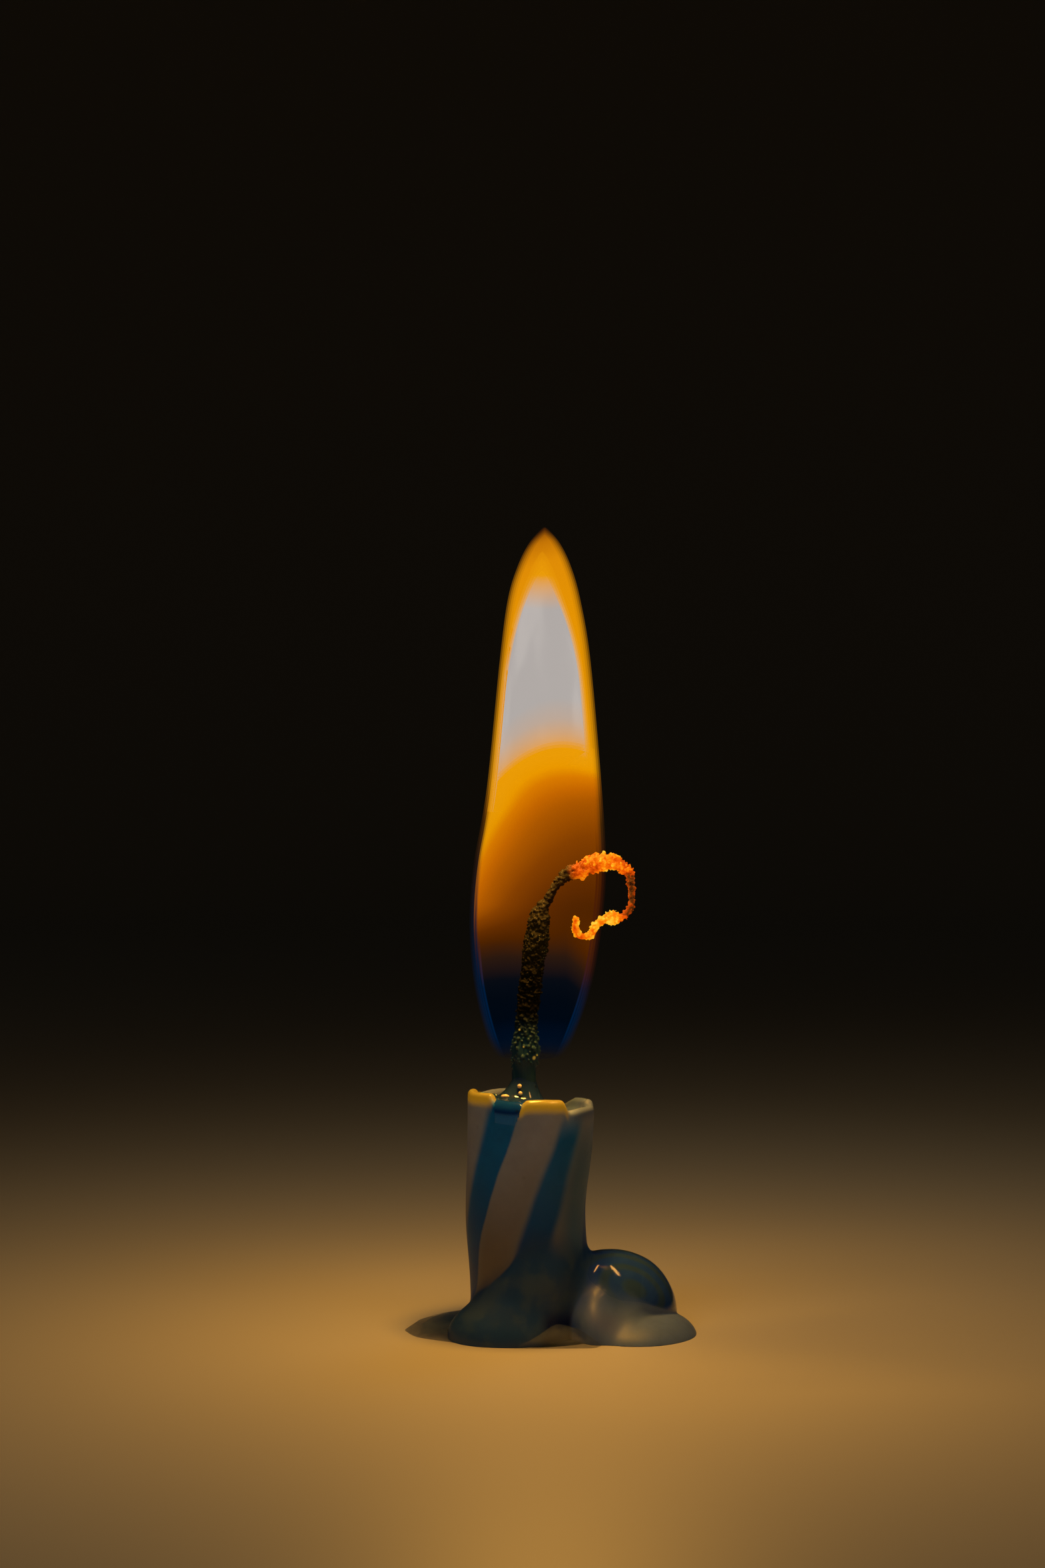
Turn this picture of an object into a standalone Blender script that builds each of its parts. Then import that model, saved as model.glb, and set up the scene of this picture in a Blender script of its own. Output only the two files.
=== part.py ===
"""A lit birthday candle burnt down to a stub, set in the wax that ran off it.

Run it with: blender --background --python part.py

Metres, +Z up. The origin is on the table, under the middle of the stub. +X is the side of the big
round drip, and -Y is the front, where the melt has broken over the rim.
"""

import math

import bmesh
import bpy
from mathutils import Matrix, Vector

MM = 0.001
GAP = 0.3 * MM  # left between solids that touch on the real candle
FRONT = math.radians(-90)  # the direction of -Y, from which stripe and notch angles are counted

# The stub: a cast rod of twisted white and blue wax
CANDLE_RADIUS = 3.0 * MM
RIM_HEIGHT = 11.2 * MM
RIM_WALL = 0.5 * MM
DISH_FLOOR = 10.2 * MM
DISH_FILLET = 0.45 * MM
RIM_TILT = 0.09  # the rim drops this much for each unit towards +X
RIM_REACH = 2.2 * MM  # the depth below the rim over which tilt and notch die away
NOTCH_ANGLE = math.radians(-22)
NOTCH_WIDTH = math.radians(20)
NOTCH_DEPTH = 0.35 * MM
SLUMP = 0.26 * MM  # sideways sag of the warm rod, towards -X
SLUMP_HEIGHT = 5.6 * MM
SLUMP_REACH = 2.5 * MM
WAIST = 0.16 * MM  # loss of radius from the sag down
TWIST = math.radians(5.7) / MM
STUB_SEGMENTS = 60
STUB_RINGS = 16
STRIPES = [(-24, 16), (43, 12), (118, 14), (190, 15), (-104, 13)]  # (middle, half width) at the rim

# The liquid wax in the dish
POOL_LEVEL = 10.98 * MM
POOL_DEPTH = 0.42 * MM
POOL_ROUND = 0.18 * MM

# The wick: x, y, z and radius in millimetres, from its sunk end to the tip of the glowing curl
WICK_ROUTE = [
    (-0.05, 0.0, 0.9, 0.45),
    (-0.32, 0.0, 5.0, 0.45),
    (-0.31, 0.0, 9.5, 0.45),
    (-0.31, 0.0, 11.6, 0.58),
    (-0.22, -0.05, 13.1, 0.66),
    (-0.12, -0.1, 15.0, 0.54),
    (0.03, -0.1, 17.0, 0.55),
    (0.33, -0.15, 18.9, 0.5),
    (0.62, -0.2, 20.0, 0.31),
    (1.19, -0.3, 20.9, 0.27),
    (1.78, -0.45, 21.5, 0.28),
    (2.45, -0.65, 21.95, 0.38),
    (3.1, -0.9, 22.15, 0.42),
    (3.85, -1.2, 22.2, 0.36),
    (4.5, -1.5, 21.9, 0.28),
    (4.76, -1.75, 21.3, 0.21),
    (4.7, -1.95, 20.5, 0.2),
    (4.45, -2.1, 19.9, 0.2),
    (3.9, -2.25, 19.7, 0.3),
    (3.35, -2.4, 19.5, 0.25),
    (2.9, -2.75, 19.0, 0.22),
    (2.45, -2.95, 18.85, 0.22),
    (2.13, -3.15, 19.15, 0.2),
    (2.1, -3.2, 19.6, 0.15),
]
WICK_STEPS = 3

# The flame's mantle: height, sideways shift of its middle, and radius, in millimetres
FLAME_OUTLINE = [
    (12.9, -0.06, 1.57),
    (14.1, -0.02, 2.06),
    (15.7, 0.06, 2.55),
    (17.3, 0.14, 2.87),
    (19.5, 0.24, 3.09),
    (22.1, 0.42, 3.06),
    (25.7, 0.61, 2.6),
    (31.7, 0.66, 2.08),
    (34.6, 0.6, 1.7),
    (36.2, 0.6, 1.28),
    (37.3, 0.63, 0.72),
    (38.05, 0.65, 0.0),
]
FLAME_STEPS = 2
FLAME_SEGMENTS = 32
FLAME_WALL = 0.2 * MM

# The spilled wax: lumps that ran together, as (middle, radii) in millimetres
SPILL_LUMPS = {
    "left film": ((-2.3, 0.6, 0.0), (3.75, 3.6, 0.42)),
    "front film": ((1.2, -1.4, 0.0), (2.4, 2.6, 0.42)),
    "left mound": ((-1.35, -1.7, 0.0), (2.6, 2.6, 2.3)),
    "right mound": ((3.1, -1.8, 0.0), (2.1, 2.3, 1.9)),
    "right apron": ((4.9, -0.7, 0.0), (3.0, 3.0, 1.05)),
    "round drip": ((3.8, 0.4, 0.9), (3.2, 2.6, 2.75)),
    "back run": ((-0.8, 2.0, 0.0), (2.8, 2.4, 1.5)),
}
COLLAR_FLARE = [(3.05, 1.0), (3.4, 0.97), (3.55, 0.85), (3.7, 0.5), (3.95, 0.2), (4.3, 0.0)]
COLLAR_LOW = 1.4 * MM  # how high the set wax stands against the stub, away from the front
COLLAR_RISE = 3.5 * MM
COLLAR_PEAK = math.radians(25)
COLLAR_WIDTH = math.radians(60)
SPILL_VOXEL = 0.3 * MM
SPILL_SMOOTHING = 4
TABLE_BLOCK = 40 * MM


def smooth_path(points, steps):
    """Points on a curve through the given ones (Catmull-Rom), with some steps to each stretch."""
    path = []
    last = len(points) - 1
    for i in range(last):
        before, start = points[max(i - 1, 0)], points[i]
        end, after = points[i + 1], points[min(i + 2, last)]
        for k in range(steps):
            t = k / steps
            path.append([
                0.5 * (2 * b + (c - a) * t + (2 * a - 5 * b + 4 * c - d) * t**2
                       + (3 * b - a - 3 * c + d) * t**3)
                for a, b, c, d in zip(before, start, end, after)
            ])
    path.append(list(points[last]))
    return path


def arc(middle, radius, start_deg, end_deg, steps):
    """Points (r, z) on an arc, both ends included."""
    angles = [math.radians(start_deg + (end_deg - start_deg) * k / steps) for k in range(steps + 1)]
    return [(middle[0] + radius * math.cos(a), middle[1] + radius * math.sin(a)) for a in angles]


def new_collection(name):
    collection = bpy.data.collections.new(name)
    bpy.context.scene.collection.children.link(collection)
    return collection


def add_object(name, data, collection):
    obj = bpy.data.objects.new(name, data)
    collection.objects.link(obj)
    return obj


def as_helper(obj):
    """Marks an object that only cuts others."""
    obj.hide_render = True
    obj.display_type = "WIRE"
    return obj


def material(name, colour, roughness, alpha=1.0, glow=0.0):
    made = bpy.data.materials.new(name)
    made.use_nodes = True
    shader = made.node_tree.nodes["Principled BSDF"]
    shader.inputs["Base Color"].default_value = (*colour, 1.0)
    shader.inputs["Roughness"].default_value = roughness
    shader.inputs["Metallic"].default_value = 0.0
    shader.inputs["Alpha"].default_value = alpha
    shader.inputs["Emission Color"].default_value = (*colour, 1.0)
    shader.inputs["Emission Strength"].default_value = glow
    return made


def frozen(obj):
    """The object as its modifiers leave it, as a plain mesh object of the same name and place."""
    bpy.context.view_layer.update()
    graph = bpy.context.evaluated_depsgraph_get()
    mesh = bpy.data.meshes.new_from_object(obj.evaluated_get(graph))
    name, place, collection = obj.name, obj.matrix_world.copy(), obj.users_collection[0]
    bpy.data.objects.remove(obj)
    made = add_object(name, mesh, collection)
    made.matrix_world = place
    return made


def turned(name, profile, segments, collection):
    """A profile of (r, z), from the top down its outer side, turned about Z."""
    mesh = bpy.data.meshes.new(name)
    mesh.from_pydata([(r, 0, z) for r, z in profile], [(i, i + 1) for i in range(len(profile) - 1)], [])
    obj = add_object(name, mesh, collection)
    screw = obj.modifiers.new("Turn", "SCREW")
    screw.steps = screw.render_steps = segments
    screw.use_merge_vertices = True
    screw.merge_threshold = 0.01 * MM
    return frozen(obj)


def cut(obj, cutter):
    boolean = obj.modifiers.new("Cut " + cutter.name, "BOOLEAN")
    boolean.operation = "DIFFERENCE"
    boolean.solver = "EXACT"
    boolean.use_self = True
    boolean.object = cutter


def rod_shift(z):
    """How far the sag carries the rod's middle along X at a height."""
    return -SLUMP * math.exp(-(((z - SLUMP_HEIGHT) / SLUMP_REACH) ** 2))


def rod_share(z):
    """The rod's radius at a height, as a share of its radius at the rim."""
    above = max(0.0, z - SLUMP_HEIGHT)
    return 1 - WAIST / CANDLE_RADIUS * math.exp(-((above / SLUMP_REACH) ** 2))


def wrapped(angle):
    """An angle brought into -180 to 180 degrees, in radians."""
    return math.remainder(angle, math.tau)


def sag_rod(mesh):
    """Gives a straight turned rod the candle's waist and its lean."""
    for vertex in mesh.vertices:
        z = vertex.co.z
        vertex.co.x = vertex.co.x * rod_share(z) + rod_shift(z)
        vertex.co.y *= rod_share(z)


def melt_rim(mesh):
    """Tilts the top of the rod and sinks the notch that the melt runs out of."""
    for vertex in mesh.vertices:
        depth = (RIM_HEIGHT - vertex.co.z) / RIM_REACH
        near_top = max(0.0, 1 - depth) ** 2
        outward = min(1.0, math.hypot(vertex.co.x, vertex.co.y) / (CANDLE_RADIUS - RIM_WALL)) ** 4
        angle = math.atan2(vertex.co.y, vertex.co.x) - FRONT
        notch = math.exp(-((wrapped(angle - NOTCH_ANGLE) / NOTCH_WIDTH) ** 2))
        vertex.co.z -= near_top * outward * (RIM_TILT * vertex.co.x + NOTCH_DEPTH * notch)


def twist_rod(mesh):
    """Winds the rod's upright lines of faces into the helix of its stripes."""
    for vertex in mesh.vertices:
        turn = Matrix.Rotation(TWIST * (vertex.co.z - RIM_HEIGHT), 3, "Z")
        vertex.co = turn @ vertex.co


def paint_stripes(mesh):
    """Gives the faces of the blue strands the second material."""
    for face in mesh.polygons:
        x, y, z = face.center
        angle = math.atan2(y, x) - FRONT - TWIST * (z - RIM_HEIGHT)
        for middle, half in STRIPES:
            if abs(wrapped(angle - math.radians(middle))) < math.radians(half):
                face.material_index = 1


def rod_profile():
    """The stub's half section: from the middle of its dish, over the rim and down to its foot."""
    dish = CANDLE_RADIUS - RIM_WALL
    crest = RIM_HEIGHT - RIM_WALL / 2
    floor = arc((dish - DISH_FILLET, DISH_FLOOR + DISH_FILLET), DISH_FILLET, -90, 0, 3)
    rim = arc((CANDLE_RADIUS - RIM_WALL / 2, crest), RIM_WALL / 2, 180, 0, 5)
    side = [(CANDLE_RADIUS, crest * (1 - k / STUB_RINGS)) for k in range(1, STUB_RINGS + 1)]
    return [(0, DISH_FLOOR), *floor, *rim, *side, (0, 0)]


def make_stub(parts, wick_bore, white, blue):
    stub = turned("candle_stub", rod_profile(), STUB_SEGMENTS, parts)
    twist_rod(stub.data)
    melt_rim(stub.data)
    stub.data.materials.append(white)
    stub.data.materials.append(blue)
    paint_stripes(stub.data)
    sag_rod(stub.data)
    stub.data.shade_smooth()
    cut(stub, wick_bore)
    return stub


def make_pool(parts, wick_bore, wax):
    """The liquid wax, a level disc with a rounded lip, clear of the dish and the wick."""
    radius = CANDLE_RADIUS - RIM_WALL - GAP
    lip = arc((radius - POOL_ROUND, POOL_LEVEL - POOL_ROUND), POOL_ROUND, 90, 0, 3)
    heel = arc((radius - POOL_ROUND, POOL_LEVEL - POOL_DEPTH + POOL_ROUND), POOL_ROUND, 0, -90, 3)
    bottom = POOL_LEVEL - POOL_DEPTH
    pool = turned("melt_pool", [(0, POOL_LEVEL), *lip, *heel, (0, bottom)], STUB_SEGMENTS, parts)
    pool.data.materials.append(wax)
    pool.data.shade_smooth()
    cut(pool, wick_bore)
    return pool


def wick_tube(name, extra, collection):
    """A tube along the wick's route, thicker than the wick by extra on every side and below."""
    curve = bpy.data.curves.new(name, "CURVE")
    curve.dimensions = "3D"
    curve.bevel_depth = 1.0
    curve.bevel_resolution = 2
    curve.use_fill_caps = True
    route = smooth_path(WICK_ROUTE, WICK_STEPS)
    spline = curve.splines.new("POLY")
    spline.points.add(len(route) - 1)
    for point, (x, y, z, radius) in zip(spline.points, route):
        point.co = (x * MM, y * MM, z * MM, 1)
        point.radius = radius * MM + extra
    spline.points[0].co.z -= extra
    return add_object(name, curve, collection)


def make_wick(parts, char):
    wick = wick_tube("wick", 0.0, parts)
    wick.data.materials.append(char)
    return wick


def make_bore(cutters):
    """The wick with the clearance around it, as a cutter."""
    bore = frozen(wick_tube("wick_bore", GAP, cutters))
    shape = bmesh.new()
    shape.from_mesh(bore.data)
    bmesh.ops.remove_doubles(shape, verts=shape.verts, dist=0.001 * MM)
    shape.to_mesh(bore.data)
    shape.free()
    return as_helper(bore)


def make_flame(parts, wick_bore, fire):
    """The burning mantle: a thin skin, open below, that the curl of the wick comes out through."""
    outline = smooth_path(FLAME_OUTLINE, FLAME_STEPS)
    profile = [(radius * MM, z * MM) for z, _, radius in reversed(outline)]
    flame = turned("flame", profile, FLAME_SEGMENTS, parts)
    shifts = {round(z * MM, 7): shift * MM for z, shift, _ in outline}
    for vertex in flame.data.vertices:
        vertex.co.x += shifts[min(shifts, key=lambda z: abs(z - vertex.co.z))]
    flame.data.materials.append(fire)
    flame.data.shade_smooth()
    skin = flame.modifiers.new("Skin", "SOLIDIFY")
    skin.thickness = FLAME_WALL
    skin.offset = -1
    cut(flame, wick_bore)
    return flame


def add_lump(shape, middle, radii):
    """An ellipsoid in a bmesh."""
    place = Matrix.Translation(middle) @ Matrix.Diagonal((*radii, 1))
    bmesh.ops.create_uvsphere(shape, u_segments=32, v_segments=16, radius=1.0, matrix=place)


def add_collar(shape, collection):
    """A turned fillet around the stub's foot in a bmesh, standing highest where the wax ran down."""
    profile = [(0, 1), *COLLAR_FLARE, (COLLAR_FLARE[-1][0], -0.3), (0, -0.3)]
    collar = turned("foot_collar", [(r * MM, z) for r, z in profile], STUB_SEGMENTS, collection)
    for vertex in collar.data.vertices:
        angle = math.atan2(vertex.co.y, vertex.co.x) - FRONT
        run = math.exp(-((wrapped(angle - COLLAR_PEAK) / COLLAR_WIDTH) ** 2))
        vertex.co.z *= COLLAR_LOW + COLLAR_RISE * run
    shape.from_mesh(collar.data)
    bpy.data.objects.remove(collar)


def make_clearance(cutters):
    """The stub's outside with the gap around it, as a cutter."""
    radius = CANDLE_RADIUS + GAP
    top = 2 * RIM_HEIGHT
    rings = 2 * STUB_RINGS
    side = [(radius, top - (top + MM) * k / rings) for k in range(rings + 1)]
    rod = turned("stub_clearance", [(0, top), *side, (0, -MM)], STUB_SEGMENTS, cutters)
    sag_rod(rod.data)
    return as_helper(rod)


def make_table_block(cutters):
    """What lies below the table top, as a cutter."""
    shape = bmesh.new()
    place = Matrix.Translation((0, 0, -TABLE_BLOCK / 2))
    bmesh.ops.create_cube(shape, size=TABLE_BLOCK, matrix=place)
    mesh = bpy.data.meshes.new("table_block")
    shape.to_mesh(mesh)
    shape.free()
    return as_helper(add_object("table_block", mesh, cutters))


def make_spill(parts, cutters, wax):
    """Lumps of run wax, melted into one, flat on the table and clear of the stub."""
    shape = bmesh.new()
    for middle, radii in SPILL_LUMPS.values():
        add_lump(shape, Vector(middle) * MM, Vector(radii) * MM)
    add_collar(shape, cutters)
    mesh = bpy.data.meshes.new("wax_spill")
    shape.to_mesh(mesh)
    shape.free()
    mesh.materials.append(wax)
    spill = add_object("wax_spill", mesh, parts)
    remesh = spill.modifiers.new("Melt together", "REMESH")
    remesh.mode = "VOXEL"
    remesh.voxel_size = SPILL_VOXEL
    remesh.use_smooth_shade = True
    smooth = spill.modifiers.new("Round off", "SMOOTH")
    smooth.factor = 0.5
    smooth.iterations = SPILL_SMOOTHING
    cut(spill, make_table_block(cutters))
    cut(spill, make_clearance(cutters))
    return spill


def main():
    for obj in list(bpy.data.objects):
        bpy.data.objects.remove(obj)
    parts = new_collection("melted_candle")
    cutters = new_collection("cutters")
    white = material("white wax", (0.80, 0.76, 0.66), 0.45)
    blue = material("blue wax", (0.02, 0.13, 0.36), 0.4)
    melt = material("molten blue wax", (0.01, 0.09, 0.28), 0.08)
    run = material("run wax", (0.03, 0.09, 0.17), 0.35)
    char = material("charred cotton", (0.06, 0.05, 0.04), 0.9)
    fire = material("fire", (1.0, 0.48, 0.05), 0.9, alpha=0.7, glow=1.0)
    bore = make_bore(cutters)
    make_stub(parts, bore, white, blue)
    make_pool(parts, bore, melt)
    make_wick(parts, char)
    make_flame(parts, bore, fire)
    make_spill(parts, cutters, run)


main()
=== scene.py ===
"""Looks of a lit, burnt-down birthday candle that stands in its own run wax.

The shapes are worked out in millimetres and become metres when a piece is made. The origin is on the
table under the stub's middle, +Z is up, -Y is the front and +X is the side of the big round drip.
"""

import logging
import math
from collections.abc import Sequence
from dataclasses import dataclass, field
from enum import Enum
from functools import cache, partial, reduce

import bmesh
import bpy
import numpy as np
from mathutils import Matrix, Vector, noise

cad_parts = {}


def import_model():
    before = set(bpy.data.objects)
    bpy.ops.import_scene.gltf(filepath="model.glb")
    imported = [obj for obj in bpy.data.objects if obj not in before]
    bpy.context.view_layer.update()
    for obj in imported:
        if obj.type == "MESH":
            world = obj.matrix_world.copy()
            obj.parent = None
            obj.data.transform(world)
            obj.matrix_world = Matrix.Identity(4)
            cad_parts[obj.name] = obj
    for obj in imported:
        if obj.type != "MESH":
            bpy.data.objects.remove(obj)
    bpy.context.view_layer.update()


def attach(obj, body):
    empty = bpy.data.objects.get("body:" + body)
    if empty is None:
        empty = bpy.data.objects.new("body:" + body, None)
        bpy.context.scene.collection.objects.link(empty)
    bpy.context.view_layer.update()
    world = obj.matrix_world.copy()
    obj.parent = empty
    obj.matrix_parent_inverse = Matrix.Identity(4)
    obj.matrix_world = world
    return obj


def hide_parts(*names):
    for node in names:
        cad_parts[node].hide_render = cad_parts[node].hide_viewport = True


LOG = logging.getLogger("melted_candle")
MM = 0.001
FRONT = math.radians(-90)  # the direction of -Y, from which angles round the stub are counted
BLACK = (0.0, 0.0, 0.0)

Array = np.ndarray
Socket = bpy.types.NodeSocket
Node = bpy.types.Node
Piece = bpy.types.Object
Material = bpy.types.Material
Mesh = tuple[Array, list]  # vertices, one row each, and the vertex numbers of each face
Colour = tuple[float, float, float]
Point = tuple[float, float, float]
Span = tuple[float, float]  # where a soft change starts and ends
Pairs = tuple[tuple[float, float], ...]
Stops = tuple[tuple[float, Colour], ...]


class WaxZone(Enum):
    """The kinds of run wax, which differ in colour."""

    DARK_RUN = "dark_run"
    PALE_SKIRT = "pale_skirt"
    ROUND_DRIP = "round_drip"
    FILM = "film"


# ---- mesh tools


def new_piece(name: str, points: Array, faces: list) -> Piece:
    """Makes a smooth-shaded mesh object from points in millimetres.

    Args:
        name: The piece's name.
        points: Vertex positions, one row each.
        faces: Vertex numbers of each face.

    Returns:
        The new object, in metres, linked to the scene.
    """
    mesh = bpy.data.meshes.new(name)
    mesh.from_pydata((np.asarray(points) * MM).tolist(), [], [list(map(int, face)) for face in faces])
    mesh.polygons.foreach_set("use_smooth", [True] * len(mesh.polygons))
    mesh.update()
    piece = bpy.data.objects.new(name, mesh)
    bpy.context.scene.collection.objects.link(piece)
    return piece


def paint(piece: Piece, name: str, values: Array) -> None:
    """Stores one number at each vertex of a piece, for its material to read.

    Args:
        piece: The mesh object.
        name: The attribute's name.
        values: One number for each vertex.
    """
    attribute = piece.data.attributes.new(name, "FLOAT", "POINT")
    attribute.data.foreach_set("value", np.asarray(values, dtype=np.float32))


def eased(low: float | Array, high: float | Array, value: Array) -> Array:
    """Eases from 0 at low to 1 at high."""
    share = np.clip((value - low) / (high - low), 0.0, 1.0)
    return share * share * (3.0 - 2.0 * share)


def blend_min(first: Array, second: Array, width: float | Array) -> Array:
    """The lesser of two distances, rounded off where they meet over a width."""
    share = np.clip(0.5 + 0.5 * (second - first) / width, 0.0, 1.0)
    return second + (first - second) * share - width * share * (1.0 - share)


def wrapped(angle: Array) -> Array:
    """Angles brought into -180 to 180 degrees, in radians."""
    return (angle + math.pi) % math.tau - math.pi


def turns(count: int) -> Array:
    """Angles of one full turn in even steps, in radians."""
    return np.arange(count) / count * math.tau


def around(radius: float | Array, angle: Array, middle: float | Array = 0.0) -> tuple[Array, Array]:
    """X and Y of points round a middle on the X axis."""
    return middle + radius * np.cos(angle), radius * np.sin(angle)


def looked_up(value: Array, table: Sequence) -> Array:
    """A table's second column at values of its first."""
    rows = np.asarray(table)
    return np.interp(value, rows[:, 0], rows[:, 1])


def ripple(points: Array, size: float, seed: float = 0.0) -> Array:
    """Smooth noise from about -1 to 1 at each point.

    Args:
        points: Positions in millimetres.
        size: The size of the noise's lumps, in millimetres.
        seed: Moves the noise, so that two uses differ.

    Returns:
        One number for each point.
    """
    shifted = points / size + seed
    return np.array([noise.noise(Vector(point)) for point in shifted])


def smooth_path(points: Sequence, steps: int) -> Array:
    """Points on a curve through the given ones (Catmull-Rom).

    Args:
        points: The points that the curve passes through, with any further values to carry along.
        steps: How many steps each stretch between two points gets.

    Returns:
        The points, one row each, both ends included.
    """
    rows = np.array(points, dtype=float)
    last = len(rows) - 1
    path = []
    for i in range(last):
        a, b, c, d = rows[max(i - 1, 0)], rows[i], rows[i + 1], rows[min(i + 2, last)]
        for t in np.arange(steps) / steps:
            square, cube = 2 * a - 5 * b + 4 * c - d, 3 * b - a - 3 * c + d
            path.append(0.5 * (2 * b + (c - a) * t + square * t**2 + cube * t**3))
    return np.array([*path, rows[last]])


def grid_faces(rows: int, columns: int) -> list[tuple[int, ...]]:
    """Faces of a grid of vertices whose rows run round an axis.

    Args:
        rows: How many rings of vertices there are.
        columns: How many vertices each ring holds.

    Returns:
        Four vertex numbers for each face.
    """
    faces = []
    for near in range(0, (rows - 1) * columns, columns):
        far = near + columns
        for column in range(columns):
            beside = (column + 1) % columns
            faces.append((near + column, near + beside, far + beside, far + column))
    return faces


def capped_faces(rows: int, columns: int) -> list[tuple[int, ...]]:
    """Faces of a closed skin: a grid of rings whose first and last ring run to a vertex each.

    Args:
        rows: How many rings of vertices there are.
        columns: How many vertices each ring holds.

    Returns:
        The vertex numbers of each face. The vertices that close the first and the last ring follow the rings.
    """
    faces = grid_faces(rows, columns)
    count = rows * columns
    last = count - columns
    for column in range(columns):
        beside = (column + 1) % columns
        faces.append((count, beside, column))
        faces.append((count + 1, last + column, last + beside))
    return faces


def joined(parts: list[Mesh]) -> Mesh:
    """Puts meshes together as one, without fusing them.

    Args:
        parts: The vertices and faces of each mesh.

    Returns:
        The vertices and faces of all.
    """
    points, faces, count = [], [], 0
    for part_points, part_faces in parts:
        points.append(part_points)
        faces.extend(tuple(count + i for i in face) for face in part_faces)
        count += len(part_points)
    return np.concatenate(points), faces


def remeshed(parts: list[Mesh], voxel: float) -> Mesh:
    """Fuses closed meshes into one even mesh.

    Args:
        parts: The vertices and faces of each mesh, in millimetres.
        voxel: The size of the new faces, in millimetres.

    Returns:
        The fused mesh's vertices, in millimetres, and its faces.
    """
    points, faces = joined(parts)
    mesh = bpy.data.meshes.new("fused")
    mesh.from_pydata(points.tolist(), [], faces)
    carrier = bpy.data.objects.new("fused", mesh)
    bpy.context.scene.collection.objects.link(carrier)
    remesh = carrier.modifiers.new("Fuse", "REMESH")
    remesh.mode = "VOXEL"
    remesh.voxel_size = voxel
    bpy.context.view_layer.update()
    result = carrier.evaluated_get(bpy.context.evaluated_depsgraph_get()).to_mesh()
    vertices = np.empty(len(result.vertices) * 3)
    result.vertices.foreach_get("co", vertices)
    made = [tuple(polygon.vertices) for polygon in result.polygons]
    carrier.to_mesh_clear()
    bpy.data.objects.remove(carrier)
    bpy.data.meshes.remove(mesh)
    return vertices.reshape(-1, 3), made


def ball(middle: Point, radii: Point, rings: int = 12, turn: Matrix | None = None) -> Mesh:
    """An ellipsoid as vertices and faces.

    Args:
        middle: Its middle, in millimetres.
        radii: Its three radii, in millimetres.
        rings: How many rings of faces it has from pole to pole.
        turn: A 3 by 3 rotation of it.

    Returns:
        Its vertices and faces.
    """
    shape = bmesh.new()
    bmesh.ops.create_uvsphere(shape, u_segments=2 * rings, v_segments=rings, radius=1.0)
    points = np.array([vertex.co for vertex in shape.verts]) * np.array(radii)
    shape.verts.index_update()
    faces = [tuple(vertex.index for vertex in face.verts) for face in shape.faces]
    shape.free()
    if turn is not None:
        points = points @ np.array(turn).T
    return points + np.array(middle), faces


def cut_flat(points: Array, faces: list) -> Mesh:
    """Cuts off what lies below the table and closes the mesh with a flat face.

    Args:
        points: Vertex positions, in millimetres.
        faces: Vertex numbers of each face.

    Returns:
        The cut mesh's vertices and faces.
    """
    shape = bmesh.new()
    rows = [shape.verts.new(point) for point in points]
    for face in faces:
        shape.faces.new([rows[i] for i in face])
    every = [*shape.verts, *shape.edges, *shape.faces]
    cut = bmesh.ops.bisect_plane(
        shape, geom=every, plane_co=(0, 0, 0), plane_no=(0, 0, 1), clear_inner=True, dist=1e-6
    )
    rim = [item for item in cut["geom_cut"] if isinstance(item, bmesh.types.BMEdge)]
    bottom = bmesh.ops.holes_fill(shape, edges=rim, sides=0)["faces"]
    bmesh.ops.triangulate(shape, faces=bottom)
    bmesh.ops.recalc_face_normals(shape, faces=shape.faces)
    shape.verts.index_update()
    vertices = np.array([vertex.co for vertex in shape.verts])
    made = [tuple(vertex.index for vertex in face.verts) for face in shape.faces]
    shape.free()
    return vertices, made


# ---- shader tools


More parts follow.
